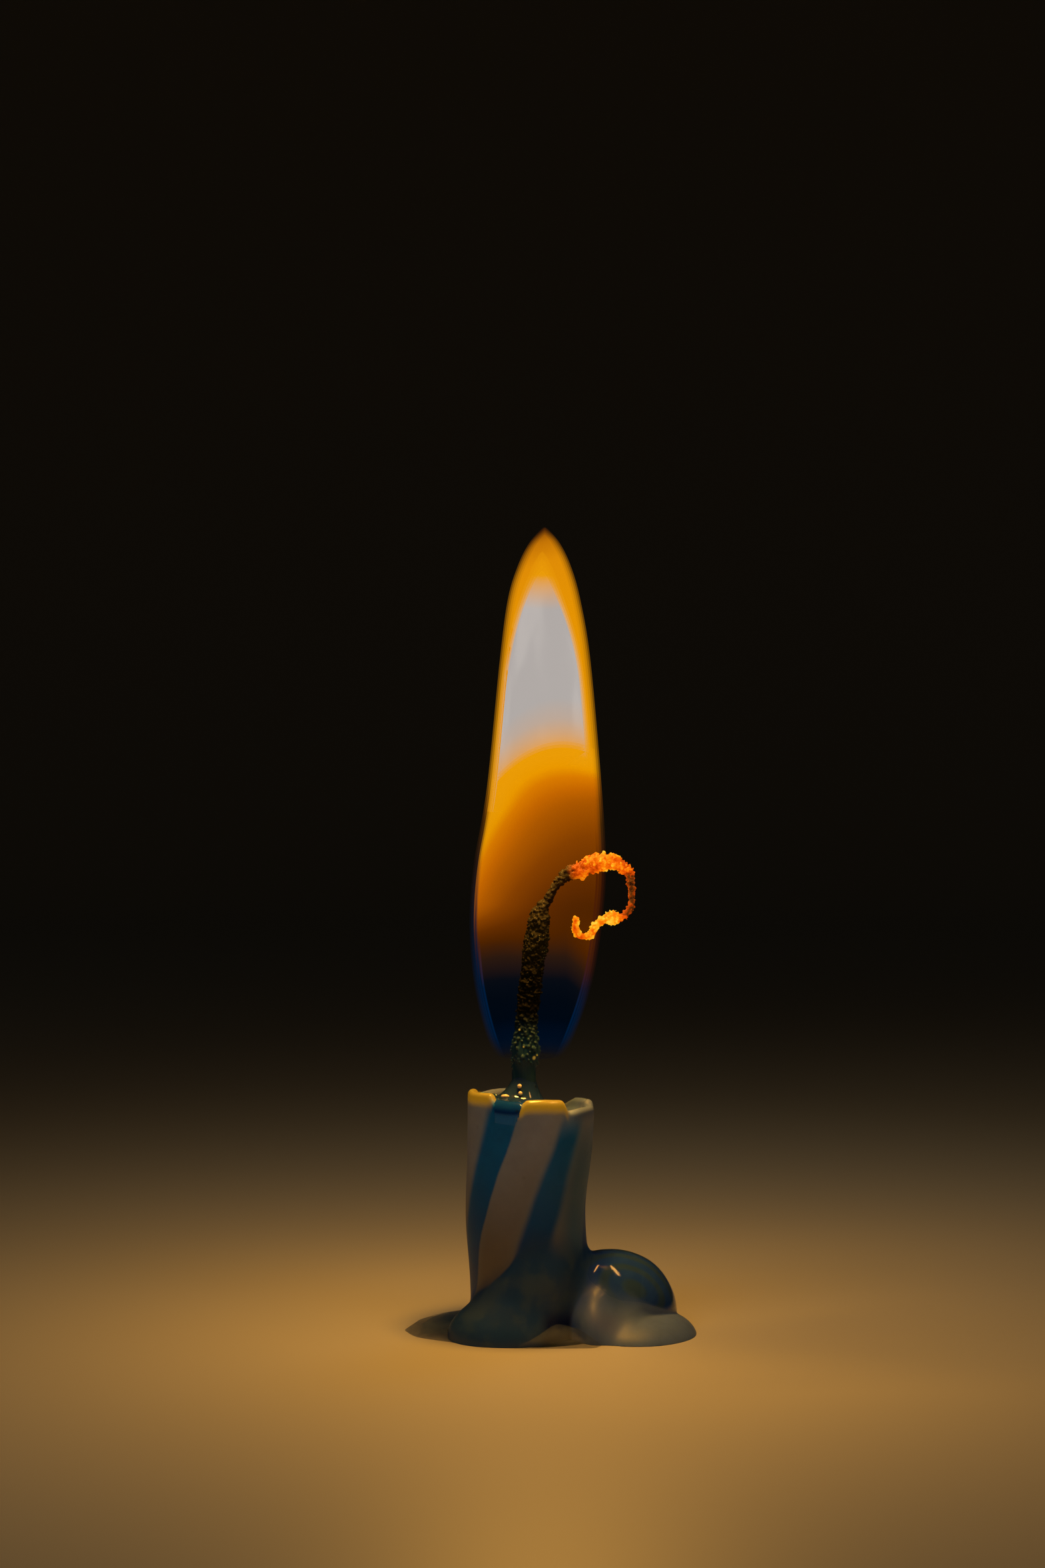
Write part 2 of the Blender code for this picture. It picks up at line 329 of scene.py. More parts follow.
class Shader:
    """Builds a material's or a group's nodes with short calls."""

    def __init__(self, tree: bpy.types.NodeTree) -> None:
        """Starts on a node tree.

        Args:
            tree: The tree that the nodes go in.
        """
        self.tree = tree
        self.count = 0

    def add(self, kind: str, **values: object) -> Node:
        """Adds a node and fills its sockets and settings.

        Args:
            kind: The node's type.
            values: A setting's name, or a socket's name with _ for spaces, with its value or source.

        Returns:
            The node.
        """
        node = self.tree.nodes.new(kind)
        node.location = (220 * (self.count % 12), -260 * (self.count // 12))
        self.count += 1
        for name, value in values.items():
            if name in node.bl_rna.properties:
                setattr(node, name, value)
                continue
            self.feed(node.inputs[name.replace("_", " ")], value)
        return node

    def feed(self, socket: Socket, value: object) -> None:
        """Links or sets one input socket.

        Args:
            socket: The input.
            value: An output socket to link, or a plain value; three numbers serve as a colour.
        """
        if isinstance(value, Socket):
            self.tree.links.new(value, socket)
        elif socket.type == "RGBA" and len(value) == 3:
            socket.default_value = (*value, 1.0)
        else:
            socket.default_value = value

    def fill(self, node: Node, **values: object) -> None:
        """Feeds several input sockets of a node.

        Args:
            node: The node.
            values: Each socket's name, with _ for spaces, with its value or source.
        """
        for name, value in values.items():
            self.feed(node.inputs[name.replace("_", " ")], value)

    def math(self, operation: str, *values: object, clamp: bool = False) -> Socket:
        """A Math node's result.

        Args:
            operation: The Math node's operation.
            values: Its inputs in order, as numbers or sockets.
            clamp: Whether the result is held in 0 to 1.

        Returns:
            The output socket.
        """
        node = self.add("ShaderNodeMath", operation=operation, use_clamp=clamp)
        for socket, value in zip(node.inputs, values):
            self.feed(socket, value)
        return node.outputs[0]

    def times(self, first: object, second: object) -> Socket:
        """The product of two values."""
        return self.math("MULTIPLY", first, second)

    def plus(self, first: object, second: object, clamp: bool = False) -> Socket:
        """The sum of two values, held in 0 to 1 where clamp is set."""
        return self.math("ADD", first, second, clamp=clamp)

    def minus(self, first: object, second: object, clamp: bool = False) -> Socket:
        """The first value less the second, held in 0 to 1 where clamp is set."""
        return self.math("SUBTRACT", first, second, clamp=clamp)

    def blend(self, share: object, first: object, second: object) -> Socket:
        """A colour mix.

        Args:
            share: How much of the second colour is used.
            first: The first colour.
            second: The second colour.

        Returns:
            The mixed colour's socket.
        """
        node = self.add("ShaderNodeMix", data_type="RGBA", clamp_result=False)
        for name, value in (("Factor_Float", share), ("A_Color", first), ("B_Color", second)):
            self.feed(next(s for s in node.inputs if s.identifier == name), value)
        return next(s for s in node.outputs if s.identifier == "Result_Color")

    def ease(
        self, value: object, low: object, high: object, start: float = 0.0, end: float = 1.0
    ) -> Socket:
        """A smooth step of a value.

        Args:
            value: What is eased.
            low: The value that gives start.
            high: The value that gives end.
            start: The result at low.
            end: The result at high.

        Returns:
            The output socket.
        """
        node = self.add("ShaderNodeMapRange", interpolation_type="SMOOTHSTEP")
        names = ("Value", "From Min", "From Max", "To Min", "To Max")
        for name, given in zip(names, (value, low, high, start, end)):
            self.feed(node.inputs[name], given)
        return node.outputs["Result"]

    def ramp(self, value: object, stops: Stops) -> Socket:
        """A colour ramp.

        Args:
            value: What picks the colour, from 0 to 1.
            stops: Positions and colours in rising order.

        Returns:
            The colour's socket.
        """
        node = self.add("ShaderNodeValToRGB", Fac=value)
        elements = node.color_ramp.elements
        while len(elements) < len(stops):
            elements.new(0.5)
        for element, (place, colour) in zip(elements, stops):
            element.position = place
            element.color = (*colour, 1.0)
        return node.outputs["Color"]

    def noise(self, place: Socket, scale: object, detail: float, roughness: float = 0.5) -> Socket:
        """Cloudy noise.

        Args:
            place: The position that it is worked out from.
            scale: How many clouds there are to a metre.
            detail: How many finer layers it has.
            roughness: How strong the finer layers are.

        Returns:
            The noise's socket, about 0 to 1.
        """
        values = {"Vector": place, "Scale": scale, "Detail": detail, "Roughness": roughness}
        return self.add("ShaderNodeTexNoise", **values).outputs["Fac"]

    def bump(self, shader: Node, strength: float, depth: float, grain: object) -> None:
        """Roughens a shader's surface.

        Args:
            shader: The Principled shader.
            strength: How much the bump shows.
            depth: How deep it is, in millimetres.
            grain: The height's source.
        """
        node = self.add("ShaderNodeBump", Strength=strength, Distance=depth * MM, Height=grain)
        self.feed(shader.inputs["Normal"], node.outputs["Normal"])

    def field(self, name: str) -> Socket:
        """The number stored at the vertices under a name."""
        return self.add("ShaderNodeAttribute", attribute_name=name).outputs["Fac"]

    def place(self) -> Socket:
        """The position on the object, in metres."""
        return self.add("ShaderNodeTexCoord").outputs["Object"]

    def group(self, tree: bpy.types.NodeTree, **values: object) -> Node:
        """Adds a node group.

        Args:
            tree: The group's tree.
            values: Its inputs, with _ for spaces.

        Returns:
            The group node.
        """
        return self.add("ShaderNodeGroup", node_tree=tree, **values)


def group_tree(
    name: str, inputs: dict[str, object], outputs: tuple[str, ...]
) -> tuple[Shader, dict, Node]:
    """Starts a shader node group.

    Args:
        name: The group's name.
        inputs: Each input's name, with its default value, or None for a vector.
        outputs: The name of each output, a number.

    Returns:
        The group's builder, its input sockets by name, and its output node.
    """
    tree = bpy.data.node_groups.new(name, "ShaderNodeTree")
    for label, value in inputs.items():
        kind = "NodeSocketVector" if value is None else "NodeSocketFloat"
        socket = tree.interface.new_socket(name=label, in_out="INPUT", socket_type=kind)
        if value is not None:
            socket.default_value = value
    for label in outputs:
        tree.interface.new_socket(name=label, in_out="OUTPUT", socket_type="NodeSocketFloat")
    build = Shader(tree)
    entry = build.add("NodeGroupInput")
    return build, {label: entry.outputs[label] for label in inputs}, build.add("NodeGroupOutput")


@cache
def mottle_group() -> bpy.types.NodeTree:
    """Cloudy unevenness with fine specks, as set wax, char and film all have at their own sizes.

    Returns:
        A group with outputs Cloud and Speck from 0 to 1, and Grain for bump.
    """
    build, given, out = group_tree(
        "cloud_and_specks",
        {"Place": None, "Cloud Size": 1.0, "Speck Size": 0.3, "Speck Share": 0.1, "Grain Size": 0.11},
        ("Cloud", "Speck", "Grain"),
    )
    scale = build.math("DIVIDE", 1.0 / MM, given["Cloud Size"])
    cloud = build.noise(given["Place"], scale, 5.0, 0.6)
    cell = build.math("DIVIDE", 1.0 / MM, given["Speck Size"])
    cells = build.add("ShaderNodeTexVoronoi", Vector=given["Place"], Scale=cell, Randomness=1.0)
    pick = build.add("ShaderNodeSeparateColor", Color=cells.outputs["Color"])
    chosen = build.math("LESS_THAN", pick.outputs["Red"], given["Speck Share"])
    near = build.ease(cells.outputs["Distance"], 0.2, 0.5, 1.0, 0.0)
    fineness = build.math("DIVIDE", 1.0 / MM, given["Grain Size"])
    fine = build.noise(given["Place"], fineness, 3.0, 0.55)
    broad = build.noise(given["Place"], build.times(fineness, 0.18), 2.0)
    grain = build.plus(build.times(fine, 0.35), broad)
    build.fill(out, Cloud=build.ease(cloud, 0.3, 0.7), Speck=build.times(chosen, near), Grain=grain)
    return build.tree


@cache
def marble_group() -> bpy.types.NodeTree:
    """Thin veins drawn out by the flow, where two colours of wax ran together.

    Returns:
        A group with the output Vein from 0 to 1.
    """
    build, given, out = group_tree(
        "wax_marble",
        {"Place": None, "Vein Size": 1.0, "Swirl": 1.0, "Sharpness": 0.5},
        ("Vein",),
    )
    scale = build.math("DIVIDE", 1.0 / MM, given["Vein Size"])
    push = build.add("ShaderNodeTexNoise", Vector=given["Place"], Scale=scale, Detail=2.0)
    centred = build.add("ShaderNodeVectorMath", operation="SUBTRACT")
    build.feed(centred.inputs[0], push.outputs["Color"])
    build.feed(centred.inputs[1], (0.5, 0.5, 0.5))
    scaled = build.add("ShaderNodeVectorMath", operation="SCALE")
    build.feed(scaled.inputs[0], centred.outputs[0])
    build.feed(scaled.inputs["Scale"], build.times(given["Swirl"], MM))
    moved = build.add("ShaderNodeVectorMath", operation="ADD")
    build.feed(moved.inputs[0], given["Place"])
    build.feed(moved.inputs[1], scaled.outputs[0])
    veins = build.noise(moved.outputs[0], scale, 3.0)
    ridge = build.math("ABSOLUTE", build.minus(veins, 0.5))
    width = build.times(given["Sharpness"], 0.12)
    vein = build.minus(1.0, build.math("DIVIDE", ridge, width), clamp=True)
    build.fill(out, Vein=vein)
    return build.tree


# The lengths that the height group takes. A flame's finish has a field for each.
FLAME_LENGTHS = (
    "foot", "tip", "flicker", "arch middle", "lean full", "lean none", "bend none", "bend full", "right lift",
    "inner", "outer",
)


@cache
def height_group() -> bpy.types.NodeTree:
    """Where a point lies between a flame's foot and its tip, with the bend of the colours' bands.

    Returns:
        A group with outputs Height, which follows the bands' arch and lean, and Level, which doesn't, both
        from 0 at the foot to 1 at the tip, and Right, which is 1 at the flame's right edge.
    """
    build, given, out = group_tree(
        "flame_height",
        {"Place": None, "Arch": 0.0, "Lean": 0.0, **dict.fromkeys(FLAME_LENGTHS, 0.0)},
        ("Height", "Level", "Right"),
    )
    parts = build.add("ShaderNodeSeparateXYZ", Vector=given["Place"])
    across, up = parts.outputs["X"], parts.outputs["Z"]
    uneven = build.noise(given["Place"], 0.35 / MM, 2.0)
    waver = build.times(build.minus(uneven, 0.5), given["flicker"])
    level = build.plus(up, waver)
    aside = build.minus(across, given["arch middle"])
    arch = build.times(build.times(aside, aside), given["Arch"])
    leaning = build.ease(up, given["lean full"], given["lean none"], 1.0, 0.0)
    lean = build.times(build.times(across, given["Lean"]), leaning)
    high = build.ease(up, given["bend none"], given["bend full"])
    bend = build.times(build.minus(arch, lean), high)
    width = build.minus(given["outer"], given["inner"])
    edge = build.math("DIVIDE", build.minus(across, given["inner"]), width, clamp=True)
    low = build.ease(up, given["bend none"], given["bend full"], 1.0, 0.0)
    lift = build.times(build.times(edge, given["right lift"]), low)
    bent = build.plus(build.plus(level, bend), lift)
    span = build.minus(given["tip"], given["foot"])
    bent, level = (
        build.math("DIVIDE", build.minus(height, given["foot"]), span, clamp=True) for height in (bent, level)
    )
    build.fill(out, Height=bent, Level=level, Right=edge)
    return build.tree


def principled(name: str, **values: object) -> tuple[Material, Shader, Node]:
    """Starts a material.

    Args:
        name: The material's name.
        values: Values of the Principled shader's own sockets, with _ for spaces.

    Returns:
        The material, the builder of its nodes, and its shader node.
    """
    material = bpy.data.materials.new(name)
    material.use_nodes = True
    build = Shader(material.node_tree)
    node = material.node_tree.nodes["Principled BSDF"]
    build.fill(node, **values)
    return material, build, node


# ---- the rod


@dataclass(frozen=True)
class Rod:
    """The cast rod's outer form: where its surface lies at each height and angle. Millimetres."""

    radius: float = 3.0
    rim_height: float = 11.15
    wall: float = 0.5
    dish_floor: float = 10.1
    slump: float = 0.26
    slump_height: float = 5.6
    slump_reach: float = 2.5
    waist: float = 0.16

    def shift(self, height: Array) -> Array:
        """How far the sag carries the rod's middle along X at each height."""
        return -self.slump * np.exp(-(((height - self.slump_height) / self.slump_reach) ** 2))

    def radius_at(self, height: Array) -> Array:
        """The rod's radius at each height."""
        above = np.maximum(0.0, height - self.slump_height)
        return self.radius - self.waist * np.exp(-((above / self.slump_reach) ** 2))

    def distance(self, points: Array) -> Array:
        """How far each point lies outside the rod's side."""
        height = points[:, 2]
        return np.hypot(points[:, 0] - self.shift(height), points[:, 1]) - self.radius_at(height)

    def angle(self, points: Array) -> Array:
        """Each point's angle round the rod from the front, rising towards +X."""
        return wrapped(np.arctan2(points[:, 1], points[:, 0] - self.shift(points[:, 2])) - FRONT)


@dataclass(frozen=True)
class Wave:
    """A regular waver round an angle or along a height."""

    size: float
    count: float
    phase: float = 0.0

    def at(self, value: Array) -> Array:
        """The waver at each value."""
        return self.size * np.sin(self.count * value + self.phase)


@dataclass(frozen=True)
class Strand:
    """A blue strand wound round the rod. Degrees from the front at the winding's middle height."""

    middle: float
    half: float = 13.0
    left_blur: float = 2.5
    right_blur: float = 2.5
    pales_at_rim: float = 0.0
    spreads_low: float = 0.0
    pale_band: Span = (9.3, 10.8)
    spread_band: Span = (6.0, 9.0)

    def share(self, angle: Array, height: Array, blur: float = 0.0) -> Array:
        """How blue the wax is at each point.

        Args:
            angle: Angles from the front with the winding taken off, in radians.
            height: Heights in millimetres.
            blur: How much softer than the strand's own edges the result is, in degrees.

        Returns:
            Shares from 0 to 1.
        """
        away = np.degrees(wrapped(angle - math.radians(self.middle)))
        left, right = self.left_blur + blur, self.right_blur + blur
        spread = self.spreads_low * (1.0 - eased(*self.spread_band, height))
        inside = eased(-left, left, away + self.half)
        inside = inside * eased(-right, right, self.half + spread - away)
        return inside * (1.0 - self.pales_at_rim * eased(*self.pale_band, height))


@dataclass(frozen=True)
class Lump:
    """An ellipsoid of run wax. Millimetres and degrees."""

    zone: WaxZone
    middle: Point
    radii: Point
    lean: float = 0.0

    def rotation(self) -> Matrix:
        """The lump's lean about Y as a 3 by 3 matrix."""
        return Matrix.Rotation(math.radians(self.lean), 3, "Y")

    def distance(self, points: Array) -> Array:
        """About how far each point lies outside the lump.

        Args:
            points: Positions in millimetres.

        Returns:
            One distance for each point, below 0 inside.
        """
        local = (points - np.array(self.middle)) @ np.array(self.rotation())
        scaled = np.linalg.norm(local / np.array(self.radii), axis=1)
        slope = np.linalg.norm(local / np.array(self.radii) ** 2, axis=1)
        return scaled * (scaled - 1.0) / np.maximum(slope, 1e-6)

    def mesh(self) -> Mesh:
        """The lump's vertices and faces."""
        return ball(self.middle, self.radii, 20, self.rotation())


@dataclass(frozen=True)
class StripedWaxFinish:
    """White and blue strands, with the darker run wax and the marbled drip below them."""

    white: Colour = (0.335, 0.355, 0.395)
    # Painted shade: the white wax darkens towards the rod's foot, as if lit only from the flame above.
    white_shaded_low: Colour = (0.145, 0.118, 0.092)
    # Painted shade on the rod's right side, weaker towards the top.
    dusk: Colour = (0.060, 0.135, 0.215)
    bluish: Colour = (0.20, 0.30, 0.37)
    speck: Colour = (0.16, 0.13, 0.09)
    blue: Colour = (0.0, 0.17, 0.48)
    # Painted shade: the blue wax darkens the same way towards the foot.
    blue_shaded_low: Colour = (0.0, 0.028, 0.125)
    run: Colour = (0.019, 0.057, 0.12)
    run_sheen: Colour = (0.040, 0.075, 0.11)
    # Painted shade in the hollow between the dark run and the skirt.
    valley_shade: Colour = (0.007, 0.016, 0.062)
    skirt: Colour = (0.125, 0.180, 0.260)
    skirt_streak: Colour = (0.118, 0.145, 0.220)
    skirt_vein: Colour = (0.07, 0.11, 0.14)
    drip: Colour = (0.018, 0.058, 0.19)
    drip_olive: Colour = (0.032, 0.066, 0.098)
    vein: Colour = (0.055, 0.14, 0.30)
    rim_shade: Colour = (0.082, 0.125, 0.215)
    glow_base: Colour = (0.20, 0.17, 0.03)
    glow: Colour = (0.21, 0.088, 0.0)

    def material(self) -> Material:
        """Builds the material.

        Returns:
            The material.
        """
        material, build, shader = principled(
            "striped wax", Subsurface_Weight=0.35, Subsurface_Radius=(1.0, 0.7, 0.45),
            Subsurface_Scale=0.55 * MM, Specular_IOR_Level=0.42, Coat_Roughness=0.05, IOR=1.44,
            Emission_Strength=1.0,
        )
        place = build.place()
        height = build.add("ShaderNodeSeparateXYZ", Vector=place).outputs["Z"]
        mottle = build.group(mottle_group(), Place=place, Cloud_Size=1.7, Speck_Size=0.35, Speck_Share=0.05)
        cloud = mottle.outputs["Cloud"]
        marble = build.group(marble_group(), Place=place, Vein_Size=2.2, Swirl=2.6, Sharpness=0.42)
        strand = build.field("strand")

        # Painted shade: white and blue darken from near the rim down to the foot.
        low = build.ease(height, 3.2 * MM, 10.6 * MM, 1.0, 0.0)
        white = build.blend(low, self.white, self.white_shaded_low)
        white = build.blend(build.times(cloud, 0.25), white, tuple(0.8 * c for c in self.white_shaded_low))
        high = build.ease(height, 6.5 * MM, 10.8 * MM, 0.25, 0.8)
        white = build.blend(build.times(build.field("bleed"), high), white, self.bluish)
        white = build.blend(build.times(mottle.outputs["Speck"], 0.22), white, self.speck)
        blue = build.blend(low, self.blue, self.blue_shaded_low)
        blue = build.blend(build.times(cloud, 0.6), blue, tuple(0.5 * c for c in self.blue))
        # Painted shade (dusk) on the rod's right side.
        white = build.blend(build.field("dusk"), white, self.dusk)
        colour = build.blend(strand, white, blue)
        colour = build.blend(build.field("rim_shade"), colour, self.rim_shade)

        run = build.blend(build.ease(cloud, 0.25, 0.85), self.run, self.run_sheen)
        run = build.blend(build.field("valley_shade"), run, self.valley_shade)
        skirt = build.blend(build.times(cloud, 0.5), self.skirt, tuple(0.6 * c for c in self.skirt))
        skirt = build.blend(build.times(marble.outputs["Vein"], 0.16), skirt, self.skirt_vein)
        skirt = build.blend(build.field("streak"), skirt, self.skirt_streak)
        skirt = build.blend(build.field("thin_top"), skirt, self.drip)
        drip = build.blend(self.swirls(build, place), self.drip, self.drip_olive)
        drip = build.blend(build.times(marble.outputs["Vein"], 0.12), drip, self.vein)
        zones = {zone: build.field(zone.value) for zone in WaxZone if zone is not WaxZone.FILM}
        for zone, tone in ((WaxZone.DARK_RUN, run), (WaxZone.ROUND_DRIP, drip), (WaxZone.PALE_SKIRT, skirt)):
            colour = build.blend(zones[zone], colour, tone)

        rim_glow = build.field("rim_glow")
        glossy = build.minus(zones[WaxZone.ROUND_DRIP], zones[WaxZone.PALE_SKIRT], clamp=True)
        glossy = build.math("MAXIMUM", glossy, build.times(rim_glow, 0.7))
        rough = build.ease(cloud, 0.0, 1.0, 0.38, 0.5)
        rough = build.times(rough, build.minus(1.0, build.times(glossy, 0.86)))
        lit = build.times(rim_glow, build.minus(1.0, strand))
        colour = build.blend(build.times(lit, 0.9), colour, self.glow_base)
        light = build.blend(lit, BLACK, self.glow)
        build.fill(shader, Base_Color=colour, Roughness=rough, Emission_Color=light)
        build.fill(shader, Coat_Weight=build.times(glossy, 0.6))
        build.bump(shader, 0.3, 0.03, mottle.outputs["Grain"])
        return material

    def swirls(self, build: Shader, place: Socket) -> Socket:
        """Oval rings stirred into the drip's wax.

        Args:
            build: The material's builder.
            place: The position on the object.

        Returns:
            A share from 0 to 1.
        """
        moved = build.add(
            "ShaderNodeMapping", vector_type="TEXTURE", Location=(4.9 * MM, -2.2 * MM, 2.35 * MM),
            Rotation=(0.0, math.radians(24), 0.0), Scale=(1.6, 1.2, 1.0), Vector=place,
        )
        rings = build.add(
            "ShaderNodeTexWave", wave_type="RINGS", rings_direction="SPHERICAL", Scale=0.42 / MM,
            Vector=moved.outputs["Vector"], Distortion=3.2, Detail=2.0, Detail_Scale=0.9,
        )
        return build.ease(rings.outputs["Fac"], 0.25, 0.95)


@dataclass
class WaxBody:
    """The stub and the wax that ran off it, as one lump. Millimetres and degrees."""

    rod: Rod = Rod()
    finish: StripedWaxFinish = StripedWaxFinish()
    voxel: float = 0.085
    columns: int = 200
    side_rows: int = 70
    crest_rows: int = 9
    inner_rows: int = 8
    below: float = -0.6
    cup_taper: float = 0.5
    rim_wave: Wave = Wave(0.025, 7.0, 0.6)
    wall_wave: Wave = Wave(0.06, 3.0, 1.0)
    run_wave: Wave = Wave(0.05, 9.0)
    strand_wave: Wave = Wave(math.radians(0.8), 1.9)
    bleed: float = 9.0
    strands: tuple[Strand, ...] = (
        Strand(-31.0, 15.6, left_blur=5.0, right_blur=1.0),
        Strand(38.7, 11.8, left_blur=4.0, right_blur=5.5, pales_at_rim=0.85, spreads_low=8.0),
        Strand(116.0),
        Strand(184.0, 14.0),
        Strand(-109.0),
    )
    # Height, and how far the strands have turned there.
    winding: Pairs = (
        (0.0, -58.0), (3.0, -42.5), (4.8, -32.0), (5.65, -26.5), (6.55, -20.5), (7.2, -15.8), (8.3, -9.8),
        (9.26, -4.1), (9.85, 0.0), (11.7, 12.4),
    )
    # Angle, and the height of the run's upper edge there.
    run_edge: Pairs = (
        (-180, 1.0), (-110, 1.1), (-71, 1.45), (-52, 2.0), (-42, 2.45), (-28, 3.0), (-18, 3.55), (-11, 4.05),
        (-3, 4.5), (6, 4.8), (20, 4.7), (35, 4.4), (57, 4.1), (85, 3.9), (110, 3.3), (150, 1.8), (180, 1.0),
    )
    run_thickness: float = 0.2
    # Angle, half width and softness, and the rim's height there.
    rim_levels: tuple[tuple[float, float, float, float], ...] = (
        (-92, 16, 10, 11.3), (-64, 27, 5, 11.46), (-22, 16, 3.5, 11.06), (14, 20.5, 3, 11.24),
        (66, 31.5, 4, 10.7), (118, 21, 7, 10.84), (165, 30, 10, 10.46),
    )
    lumps: tuple[Lump, ...] = (
        Lump(WaxZone.DARK_RUN, (-1.2, -1.8, 0.1), (2.73, 2.35, 1.75)),
        Lump(WaxZone.DARK_RUN, (-0.35, -1.95, 1.8), (1.6, 1.3, 2.8), lean=40),
        Lump(WaxZone.DARK_RUN, (-0.8, 2.0, 0.0), (2.6, 2.2, 1.4)),
        Lump(WaxZone.PALE_SKIRT, (4.9, -0.7, -0.3), (3.0, 3.25, 1.45)),
        Lump(WaxZone.PALE_SKIRT, (3.05, -1.6, 0.3), (1.1, 1.95, 1.7), lean=-12),
        Lump(WaxZone.ROUND_DRIP, (3.8, 0.3, 0.9), (3.12, 2.6, 2.84)),
    )
    # X, and the height that the skirt is smeared up to.
    smear_edge: Pairs = (
        (1.5, 2.6), (2.6, 2.7), (3.3, 2.3), (4.0, 1.98), (4.9, 1.76), (5.4, 1.6), (6.2, 1.27), (6.9, 0.97),
    )
    # X and height.
    streak_route: Pairs = (
        (2.55, 2.3), (2.6, 1.9), (2.85, 1.45), (3.3, 1.05), (3.9, 0.72), (4.4, 0.55),
    )
    run_softness: Span = (-0.3, 0.15)
    run_rounding: float = 1.1
    skirt_rounding: float = 0.6
    drip_rounding: float = 0.3
    run_crease: float = 0.55
    skirt_crease: float = 0.35
    drip_crease: float = 0.5
    drip_edge_crease: float = 0.08
    crease_sharpens: Span = (4.4, 5.8)
    blend_fades: Span = (6.0, 7.0)
    settle_rounds: int = 6
    settle_reach: float = 0.3
    uneven: float = 0.05
    uneven_size: float = 1.6
    glow_band: Span = (-0.78, -0.3)
    glow_left: Span = (-102.0, -88.0)
    glow_right: Span = (32.0, 38.0)
    crest_band: Span = (-0.3, -0.1)
    crest_glow: float = 0.04
    # Painted shade on the rod's right side: its angles, the heights over which it lifts, and by how much.
    side_shade_angles: Span = (18.0, 56.0)
    side_shade_heights: Span = (7.5, 11.5)
    side_shade_lift: float = 0.75
    shade_right: Span = (38.0, 56.0)
    shade_left: Span = (84.0, 98.0)
    shade_band: Span = (-0.75, -0.2)
    shade: float = 0.85
    cup_shade: float = 0.8
    cup_band: Span = (9.4, 9.8)

    def rim_at(self, angle: Array) -> Array:
        """The rim's height at each angle from the front.

        Args:
            angle: Angles in radians, rising towards +X.

        Returns:
            Heights in millimetres.
        """
        height = np.full_like(angle, self.rod.rim_height)
        for middle, half, soft, level in self.rim_levels:
            away = np.abs(wrapped(angle - math.radians(middle)))
            share = 1.0 - eased(math.radians(half - soft), math.radians(half + soft), away)
            height = height + share * (level - height)
        return height + self.rim_wave.at(angle)

    def rod_mesh(self) -> Mesh:
        """The rod with its rim and dish, closed at both ends.

        Returns:
            Its vertices and faces.
        """
        angle = turns(self.columns)
        front = wrapped(angle - FRONT)
        top = self.rim_at(front)
        wall = self.rod.wall + self.wall_wave.at(front)
        shoulder, floor = top - wall / 2, self.rod.dish_floor
        rings = []
        for share in np.linspace(0.0, 1.0, self.side_rows):
            height = self.below + (shoulder - self.below) * share
            rings.append((self.rod.radius_at(height), height))
        crest = self.rod.radius_at(top) - wall / 2
        for bend in np.linspace(0.0, math.pi, self.crest_rows)[1:]:
            rings.append((crest + wall / 2 * math.cos(bend), shoulder + wall / 2 * math.sin(bend)))
        inner = crest - wall / 2
        for share in np.linspace(0.0, 1.0, self.inner_rows)[1:]:
            rings.append((inner - self.cup_taper * share**2, shoulder + (floor - shoulder) * share))
        for share in (0.6, 0.25):
            rings.append(((inner - self.cup_taper) * share, np.full_like(top, floor)))
        points = []
        for radius, height in rings:
            points.append(np.column_stack([*around(radius, angle, self.rod.shift(height)), height]))
        vertices = np.concatenate([*points, [[0, 0, self.below], [0, 0, floor]]])
        return vertices, capped_faces(len(rings), self.columns)

    def below_edge(self, points: Array) -> tuple[Array, Array]:
        """Where each point lies against the upper edge of the wax that ran down the rod's side.

        Args:
            points: Positions in millimetres.

        Returns:
            How far below the edge each point lies, and how soft the edge is there, from 0 to 1.
        """
        angle = self.rod.angle(points)
        table = np.array(self.run_edge)
        edge = np.interp(angle, np.radians(table[:, 0]), table[:, 1]) + self.run_wave.at(angle)
        return edge - points[:, 2], eased(*self.run_softness, angle)

    def run_thickness_at(self, points: Array) -> Array:
        """How thick the run lies on the rod's side at each point."""
        below, soft = self.below_edge(points)
        return self.run_thickness * (1.0 - 0.35 * soft) * eased(-0.6 * soft, 0.5 + 2.0 * soft, below)

    def inside(self, points: Array) -> Array:
        """How surely each point lies on the cup's inside."""
        return eased(0.1, 0.3, -self.rod.distance(points)) * eased(*self.cup_band, points[:, 2])

    def rim_tints(self, points: Array) -> dict[str, Array]:
        """The rod's painted light and shade: the flame shining through the rim, the shade there, and the
        dusk, a painted shade on its right side.

        Args:
            points: Positions in millimetres.

        Returns:
            Shares from 0 to 1 by attribute name.
        """
        angle = self.rod.angle(points)
        depth = points[:, 2] - self.rim_at(angle)
        angle = np.degrees(angle)
        lit = eased(*self.glow_left, angle) * (1.0 - eased(*self.glow_right, angle))
        crest = self.crest_glow * eased(*self.crest_band, depth)
        shaded = np.maximum(eased(*self.shade_right, angle), eased(*self.shade_left, -angle))
        rim = self.shade * shaded * eased(*self.shade_band, depth)
        lifted = self.side_shade_lift * eased(*self.side_shade_heights, points[:, 2])
        return {
            "rim_glow": np.maximum(eased(*self.glow_band, depth) * lit, crest),
            "rim_shade": np.maximum(rim, self.cup_shade * self.inside(points)),
            "dusk": eased(*self.side_shade_angles, angle) * (1.0 - lifted),
        }

    def wound(self, points: Array) -> Array:
        """Each point's angle from the front with the strands' winding taken off, in radians."""
        return self.rod.angle(points) - np.radians(looked_up(points[:, 2], smooth_path(self.winding, 8)))

    def blue_share(self, points: Array, blur: float = 0.0) -> Array:
        """How blue the strands make each point.

        Args:
            points: Positions in millimetres.
            blur: How much softer than the strands' own edges the result is, in degrees.

        Returns:
            Shares from 0 to 1.
        """
        angle = self.wound(points) + self.strand_wave.at(points[:, 2])
        shares = [strand.share(angle, points[:, 2], blur) for strand in self.strands]
        return np.maximum.reduce(shares)

